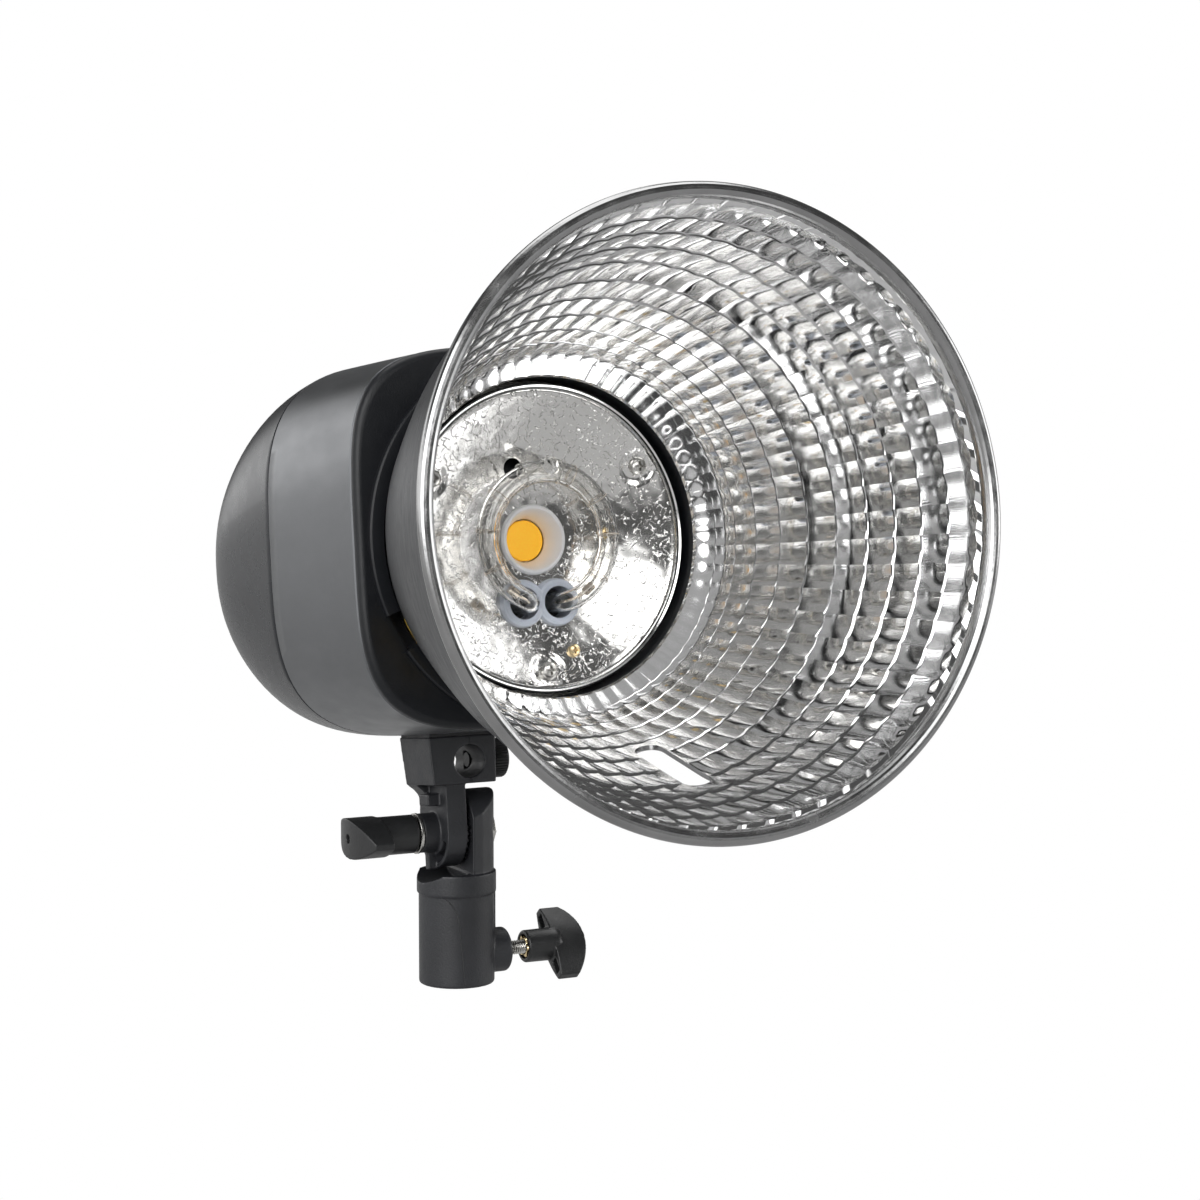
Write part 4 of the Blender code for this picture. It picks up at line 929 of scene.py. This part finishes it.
def power_entry():
    """The mains inlet with its blades, the rocker switch and the fuse."""
    x, z = INLET_AT
    inlet = make("inlet_shell", block((x - 12.0, 228.0, z - 8.0), (x + 12.0, 247.5, z + 8.0)), OPTICS,
                 "panel")
    combine(inlet, "UNION", block((x - 13.4, 246.6, z - 10.0), (x + 13.4, 249.0, z + 10.0)))
    socket = [(-10.5, -6.5), (10.5, -6.5), (10.5, 3.0), (7.0, 6.5), (-7.0, 6.5), (-10.5, 3.0)]
    combine(inlet, "DIFFERENCE", prism([(x + a, z + b) for a, b in socket], 231.0, 255.0, "Y"))
    rounded(inlet, 0.4)
    settle(inlet, "head", "panel", "mains_inlet")
    for number, at in enumerate((-6.5, 0.0, 6.5), 1):
        low = 1.0 if at == 0.0 else -1.5
        blade = make(f"inlet_blade_{number}",
                     block((x + at - 1.0, 231.2, z + low - 2.0), (x + at + 1.0, 244.0, z + low + 2.0)),
                     OPTICS, "brass")
        rounded(blade, 0.25)
        settle(blade, "head", "brass")
    x, z = ROCKER_AT
    rim = make("rocker_bezel", block((x - 9.4, 232.0, z - 5.9), (x + 9.4, 247.4, z + 5.9)), OPTICS, "panel")
    combine(rim, "UNION", block((x - 10.8, 246.6, z - 7.4), (x + 10.8, 248.2, z + 7.4)))
    combine(rim, "DIFFERENCE", block((x - 8.6, 236.0, z - 4.9), (x + 8.6, 255.0, z + 4.9)))
    rounded(rim, 0.35)
    settle(rim, "head", "panel", "rocker_frame")
    pivot = PANEL_BACK - 1.6
    outline = [(-7.6, 0.0), (-7.6, 4.2), (-7.2, 4.45), (0.0, 3.0), (7.2, 1.75), (7.6, 1.5), (7.6, 0.0),
               (0.0, -2.8)]
    rocker = make("rocker_key", prism([(x + a, pivot + b) for a, b in outline], z - 4.5, z + 4.5, "Z"),
                  OPTICS, "lens")
    rounded(rocker, 0.25)
    settle(rocker, "power_rocker", "lens", "power_rocker")
    x, z = FUSE_AT
    profile = [(228.0, 3.4), (228.0, 4.9), (246.6, 4.9), (246.6, 6.3), (247.0, 6.4), (247.8, 6.1),
               (247.8, 5.3), (247.0, 5.2), (247.0, 3.4)]
    piece("fuse_collar", turned(profile, "Y", 64, (x, z), ring=True), "panel", "head", "fuse_holder")
    profile = [(241.0, 3.0), (247.2, 3.0), (247.2, 4.9), (250.2, 4.75), (250.7, 4.4), (250.9, 3.6),
               (250.9, 0.2)]
    cap = make("fuse_knob", turned(profile, "Y", 48, (x, z)), OPTICS, "knob")
    combine(cap, "DIFFERENCE", block((x - 6.0, 250.1, z - 0.55), (x + 6.0, 260.0, z + 0.55)))
    settle(cap, "fuse_cap", "knob", "fuse_cap")


# Bracket -------------------------------------------------------------------------------------


def teeth(name, face, tip, root, matrix, height, body):
    """Radial clamping teeth on an ear's face."""
    steps = 120
    rings = [circle(radius, face, steps, "X", (0.0, height)) for radius in (5.4, 10.6)]
    rings = [[(tip if step % 4 in (1, 2) else face, y, z) for step, (_, y, z) in enumerate(ring)]
             for ring in rings]
    rings += [circle(radius, root, steps, "X", (0.0, height)) for radius in (10.6, 5.4)]
    piece(name, loft(rings, closed=True), "bracket", body, space=matrix)


def upper_bracket():
    """The umbrella clamp under the housing and its ear on the tilt axis, as one grained moulding."""
    sections = ((31.0, -14.1, 9.4, -14.0, 10.0), (27.0, -13.8, 9.35, -13.9, 9.9),
                (15.5, -12.7, 9.2, -13.4, 9.6))
    rings = [[(x0, y0, z), (x1, y0, z), (x1, y1, z), (x0, y1, z)] for z, x0, x1, y0, y1 in sections]
    body = make("upper_bracket", loft(rings), HEAD, "bracket")
    ear = [(-11.5, 17.0)] + arc(11.5, 180, 360, 40) + [(9.6, 17.0)]
    brace = [(-12.4, 16.5), (-12.2, 15.0), (-10.6, 13.8), (-9.2, 12.2), (-8.4, 10.2), (-6.0, 10.2),
             (-6.0, 16.5)]
    brace = loft([[(x, y, z) for x, z in brace] for y in (1.5, 9.2)])
    combine(body, "UNION", prism(ear, -8.0, -1.0, "X"), rod(-13.6, -7.0, 6.4, "X", 64),
            block((-12.2, -6.5, 8.7), (-7.0, 1.0, 12.5)), brace,
            prism([(-1.3, -12.0), (1.3, -12.0), (1.3, -5.0), (-1.3, -5.0)], -11.0, -7.0, "X"))
    pockets = (arc(10.0, start, start + 62, 12) + arc(7.3, start + 62, start, 12) for start in (200, 278))
    combine(body, "DIFFERENCE", *(prism(pocket, -9.0, -4.6, "X") for pocket in pockets),
            rod(-30.0, 20.0, 4.4, "X", 40),
            rod(-30.0, 30.0, 5.35, "Y", 72, (0.0, UMBRELLA_HEIGHT)),
            rod(2.0, 20.0, 2.9, "X", 32, (0.0, UMBRELLA_HEIGHT)))
    moulded(body, 0.28, 6)
    settle(body, "head", "bracket", "umbrella_block")
    gasket = make("bracket_gasket", block((-13.7, -13.5, 30.6), (9.0, 9.5, 32.2)), HEAD, "panel")
    settle(gasket, "head", "panel")
    line = make("mould_line", block((0.2, -14.12, 15.9), (0.42, -13.4, 30.6)), HEAD, "bracket")
    combine(line, "DIFFERENCE", rod(-30.0, 30.0, 5.6, "Y", 72, (0.0, UMBRELLA_HEIGHT)))
    settle(line, "head", "bracket")
    teeth("ear_teeth", -1.0, -0.3, -2.4, HEAD, 0.0, "head")


def umbrella_clamp():
    """The knurled thumbscrew on the umbrella clamp."""
    profile = ((12.7, 5.9, 0.0), (13.0, 6.3, 0.3), (13.4, 6.5, 0.42), (16.9, 6.5, 0.42), (17.4, 6.3, 0.3),
               (17.7, 5.8, 0.0), (17.5, 4.6, 0.0), (17.45, 0.3, 0.0))
    knob = make("thumb_knob", ribbed(profile, 40, "X", (0.0, UMBRELLA_HEIGHT)), HEAD, "knob")
    combine(knob, "UNION", rod(9.8, 13.4, 4.6, "X", 64, (0.0, UMBRELLA_HEIGHT), 0.4))
    settle(knob, "umbrella_knob", "knob", "umbrella_knob")
    thread("thumb_thread", 6.6, 9.9, 2.5, HEAD, UMBRELLA_HEIGHT, "umbrella_knob", "umbrella_screw")


def thread(name, start, end, radius, matrix, height, body, *nodes):
    """A screw thread along X: rings whose radius follows the helix."""
    steps = 36
    pitch = 0.8
    rings = []
    count = int((end - start) / 0.1)
    for k in range(count + 1):
        along = start + (end - start) * k / count
        ring = []
        for i in range(steps):
            phase = (along / pitch + i / steps) % 1.0
            reach = radius - 0.42 * abs(2 * phase - 1)
            if k in (0, count):
                reach = radius - 0.5
            ring.append((along, *polar(reach, 2 * math.pi * i / steps, (0.0, height))))
        rings.append(ring)
    piece(name, loft(rings), "steel", body, *nodes, space=matrix, sharp=50.0)


def lower_bracket():
    """The stand socket with its saddle collar, fixed ear and the lock screw's boss."""
    profile = [(0.0, SOCKET_R - 0.4), (0.5, SOCKET_R), (30.0, SOCKET_R), (30.0, COLLAR_R), (36.9, COLLAR_R)]
    body = make("lower_bracket", turned(profile, "Z", 128), STAND, "bracket")
    half = [(0.6, -12.2), (4.4, -11.4)] + arc(12.2, -52, 52, 30) + [(4.4, 11.4), (0.6, 12.2)]
    ear = make("fixed_ear", prism(half, 28.0, 66.0, "Z"), STAND, "bracket")
    outline = [(-13.3, 20.0)] + arc(13.3, 180, 0, 60, PIVOT_HEIGHT) + [(13.3, 20.0)]
    combine(ear, "INTERSECT", prism(outline, -5.0, 20.0, "X"))
    merge(body, "UNION", ear)
    combine(body, "UNION", rod(7.0, 17.2, 7.3, "X", 80, (0.0, LOCK_HEIGHT), 0.6),
            block((8.0, -1.2, 14.0), (13.6, 1.2, 30.5)))
    saddle = [(13.4, 60.0), (-13.4, 60.0)] + arc(16.0, 214, 326, 40, PIVOT_HEIGHT)
    combine(body, "DIFFERENCE", prism(saddle, -20.0, 0.3, "X"), rod(-5.0, 30.0, 8.15, "Z", 96),
            rod(5.0, 25.0, 2.6, "X", 40, (0.0, LOCK_HEIGHT)),
            rod(-5.0, 20.0, 4.3, "X", 40, (0.0, PIVOT_HEIGHT)),
            prism(arc(7.0, 0, 300, 5, PIVOT_HEIGHT), 7.6, 20.0, "X"))
    moulded(body, 0.3, 6)
    settle(body, "stand", "bracket", "stand_socket")
    teeth("fixed_teeth", 1.0, 0.3, 2.4, STAND, PIVOT_HEIGHT, "stand")
    foot, knee, tip = (-101.5, 0.9), (-109.0, 18.0), (-137.0, 29.4)
    leaning = [(foot[0] + (knee[0] - foot[0]) * step / 6, foot[1] + (knee[1] - foot[1]) * step / 6)
               for step in range(6)]
    bending = [(tip[0] + (knee[0] - tip[0]) * math.cos(turn), knee[1] + (tip[1] - knee[1]) * math.sin(turn))
               for turn in sweep(0, 90, 9)]
    path = [Vector((*polar(SOCKET_R + 0.02, math.radians(angle)), z)) for angle, z in leaning + bending]
    piece("parting_line", loft(pipe_rings(path, 0.2, 8)), "panel", "stand", space=STAND)
    bolt = make("hex_bolt", prism(arc(6.58, 0, 300, 5, PIVOT_HEIGHT), 7.9, 11.7, "X"), STAND, "steel")
    rounded(bolt, 0.4)
    combine(bolt, "UNION", rod(-27.0, 9.0, 4.0, "X", 48, (0.0, PIVOT_HEIGHT)))
    settle(bolt, "stand", "steel", "tilt_bolt")


def leaf(half_length, half_width, blunt, start, end, lean, height):
    """A leaf-shaped prism along X: two arcs in outline, blunt at the tips and leaning about the axis."""
    reach = (half_length**2 + half_width**2) / (2 * half_width)
    spread = math.asin((half_length - blunt) / reach)
    turns = [spread - 2 * spread * step / 30 for step in range(31)]
    upper = [(reach * math.sin(a), half_width - reach + reach * math.cos(a)) for a in turns]
    lean = math.radians(lean)
    outline = [(y * math.cos(lean) - z * math.sin(lean), height + y * math.sin(lean) + z * math.cos(lean))
               for y, z in upper + [(-y, -z) for y, z in upper]]
    return prism(outline, start, end, "X")


def tilt_handle():
    """The wing handle: a round hub that ends in a crowned leaf, with a washer behind it."""
    handle = make("wing_handle", rod(-31.0, -15.2, 6.25, "X", 72, (0.0, PIVOT_HEIGHT), 0.5), STAND, "knob")
    wing = make("leaf", leaf(15.5, 6.3, 0.9, -40.0, -27.8, 4.0, PIVOT_HEIGHT), STAND, "knob")
    combine(wing, "INTERSECT", rod(20.0, 80.0, 30.0, "Z", 160, (-8.0, 0.0)))
    merge(handle, "UNION", wing)
    dish = rod(-40.0, -36.4, 1.5, "X", 32, (0.0, PIVOT_HEIGHT))
    combine(handle, "DIFFERENCE", rod(-29.0, -10.0, 4.3, "X", 40, (0.0, PIVOT_HEIGHT)), dish)
    moulded(handle, 0.24, 5)
    settle(handle, "tilt_handle", "knob", "tilt_handle")
    washer = turned([(-14.9, 4.4), (-14.9, 6.4), (-14.75, 6.6), (-14.05, 6.6), (-13.9, 6.4), (-13.9, 4.4)],
                    "X", 64, (0.0, PIVOT_HEIGHT), ring=True)
    piece("pressure_washer", washer, "steel", "tilt_slider", "tilt_washer", space=STAND)


def turn_about_lock(bm):
    """Turns a shape with the lock knob's wing and lifts it to the lock screw's axis."""
    bmesh.ops.rotate(bm, verts=bm.verts, matrix=Matrix.Rotation(math.radians(LOCK_TURN), 3, "X"))
    bmesh.ops.translate(bm, verts=bm.verts, vec=(0.0, 0.0, LOCK_HEIGHT))


def lock_knob():
    """The half-moon knob on its threaded screw, with a brass star insert in the hub's end."""
    hub = [(24.1, 4.9), (24.5, 5.35), (35.0, 5.45), (36.0, 5.2)]
    knob = make("half_moon_knob", turned(hub, "X", 72, (0.0, LOCK_HEIGHT)), STAND, "knob")
    wing = make("half_moon", leaf(15.4, 4.6, 2.6, 33.4, 46.0, LOCK_TURN, LOCK_HEIGHT), STAND, "knob")
    crown = rod(-20.0, 20.0, 20.3, "Z", 160, (24.6, 0.0))
    turn_about_lock(crown)
    combine(wing, "INTERSECT", crown)
    merge(knob, "UNION", wing)
    for side in (-1, 1):
        outline = [(30.0, side * 6.0), (30.0, side * 11.0), (37.6, side * 10.6), (40.6, side * 8.0),
                   (41.2, side * 6.0)]
        pocket = prism(outline, -1.5, 1.5, "Z")
        turn_about_lock(pocket)
        bmesh.ops.recalc_face_normals(pocket, faces=pocket.faces)
        combine(knob, "DIFFERENCE", pocket)
    combine(knob, "DIFFERENCE", rod(20.0, 31.8, 4.05, "X", 48, (0.0, LOCK_HEIGHT)))
    moulded(knob, 0.24, 5)
    settle(knob, "lock_knob", "knob", "lock_knob")
    star = [(3.25 + 0.5 * math.cos(6 * a), a) for a in (2 * math.pi * step / 60 for step in range(60))]
    centre = (0.0, LOCK_HEIGHT)
    rings = [[(along, *polar(radius * scale, turn, centre)) for radius, turn in star]
             for along, scale in ((24.0, 0.93), (24.3, 1.0), (31.4, 1.0))]
    rings += [circle(bore, along, 60, "X", centre)
              for along, bore in ((31.4, 2.6), (24.2, 2.6), (24.0, 2.75))]
    piece("star_insert", loft(rings, closed=True), "brass", "lock_knob", "lock_insert", space=STAND)
    thread("lock_thread", 10.2, 31.0, 2.35, STAND, LOCK_HEIGHT, "lock_knob", "lock_screw")


# Carried-over CAD nodes, camera and light ----------------------------------------------------


def dress_nodes():
    """Gives each CAD node that stays its material."""
    finishes = {
        "steel": ("front_bulkhead", "chassis_plate", "bracket_screw_1", "bracket_screw_2",
                  "dial_potentiometer"),
        "panel": ("bayonet_spring",),
        "trim": ("led_heatsink",), "knob": ("umbrella_pad",), "ceramic": ("tube_socket",),
        "white": ("lock_pad",), "board": ("power_board", "control_board"), "copper": ("transformer",),
        "sleeve": ("flash_capacitor_left", "flash_capacitor_right"),
    }
    for finish, names in finishes.items():
        for name in names:
            node = frame["nodes"][name]
            node.data.materials.clear()
            node.data.materials.append(M[finish])


def studio():
    """The pale floor, the soft surroundings and the camera."""
    low = Vector(cad_box[0])
    size = 30.0
    floor_z = low.z - 0.32
    mesh = bpy.data.meshes.new("floor")
    corners = [(x * size, y * size, floor_z) for x, y in ((-1, -1), (1, -1), (1, 1), (-1, 1))]
    mesh.from_pydata(corners, [], [(0, 1, 2, 3)])
    floor = bpy.data.objects.new("floor", mesh)
    material, nodes, links, shader = new_material("pale_floor")
    tint = noise_node(nodes, links, object_space(nodes, links), 3.0)
    links.new(blended(nodes, links, tint, (0.40, 0.40, 0.40), (0.46, 0.46, 0.46)),
              shader.inputs["Base Color"])
    shader.inputs["Roughness"].default_value = 0.9
    glow = nodes.new("ShaderNodeEmission")
    shown_apart(nodes, links, shader.outputs["BSDF"], glow.outputs["Emission"], nodes["Material Output"])
    mesh.materials.append(material)
    bpy.context.scene.collection.objects.link(floor)
    surroundings()
    camera = bpy.data.cameras.new("camera")
    camera.lens = 84.0
    camera.sensor_width = 36.0
    camera.clip_end = 100.0
    view = bpy.data.objects.new("camera", camera)
    view.location = (-0.3701, -0.8251, 0.2027)
    view.rotation_euler = (math.radians(85.1), 0.0, math.radians(-27.13))
    bpy.context.scene.collection.objects.link(view)
    bpy.context.scene.camera = view


def surroundings():
    """Soft boxes, as smooth bright patches in the world's directions over a dim base, behind plain white."""
    world = bpy.data.worlds.new("studio")
    bpy.context.scene.world = world
    world.use_nodes = True
    nodes = world.node_tree.nodes
    links = world.node_tree.links
    nodes.clear()
    place = nodes.new("ShaderNodeTexCoord")
    total = 0.11
    boxes = (
        ((-0.75, -0.62, 0.45), 0.88, 0.92, 6.0),
        ((0.15, -0.95, -0.24), 0.968, 0.982, 5.0),
        ((0.05, -0.90, 0.42), 0.972, 0.984, 5.0),
        ((0.86, -0.34, 0.08), 0.915, 0.950, 4.0),
        ((0.15, 0.25, 1.0), 0.86, 0.93, 3.0),
        ((-0.50, 0.87, -0.06), 0.80, 0.97, 2.0),
        ((-1.0, 0.12, -0.02), 0.86, 0.97, 2.4),
    )
    for direction, edge, full, strength in boxes:
        dot = nodes.new("ShaderNodeVectorMath")
        dot.operation = "DOT_PRODUCT"
        dot.inputs[1].default_value = Vector(direction).normalized()
        links.new(place.outputs["Generated"], dot.inputs[0])
        soft = remapped(nodes, links, dot.outputs["Value"], 0.0, strength, edge, full, "SMOOTHSTEP")
        total = calculated(nodes, links, "ADD", soft, total)
    lit = nodes.new("ShaderNodeBackground")
    links.new(total, lit.inputs["Strength"])
    seen = nodes.new("ShaderNodeBackground")
    seen.inputs["Color"].default_value = (1.0, 1.0, 1.0, 1.0)
    output = nodes.new("ShaderNodeOutputWorld")
    shown_apart(nodes, links, lit.outputs["Background"], seen.outputs["Background"], output)


bpy.context.scene.view_settings.view_transform = "Standard"
studio()
for build in (front_bezel, mid_shell, rear_cover, reflector, base_disc, lamp_screws, flash_tube,
              modelling_lamp, rear_panel, rear_controls, power_entry, upper_bracket, umbrella_clamp,
              lower_bracket, tilt_handle, lock_knob, dress_nodes):
    build()
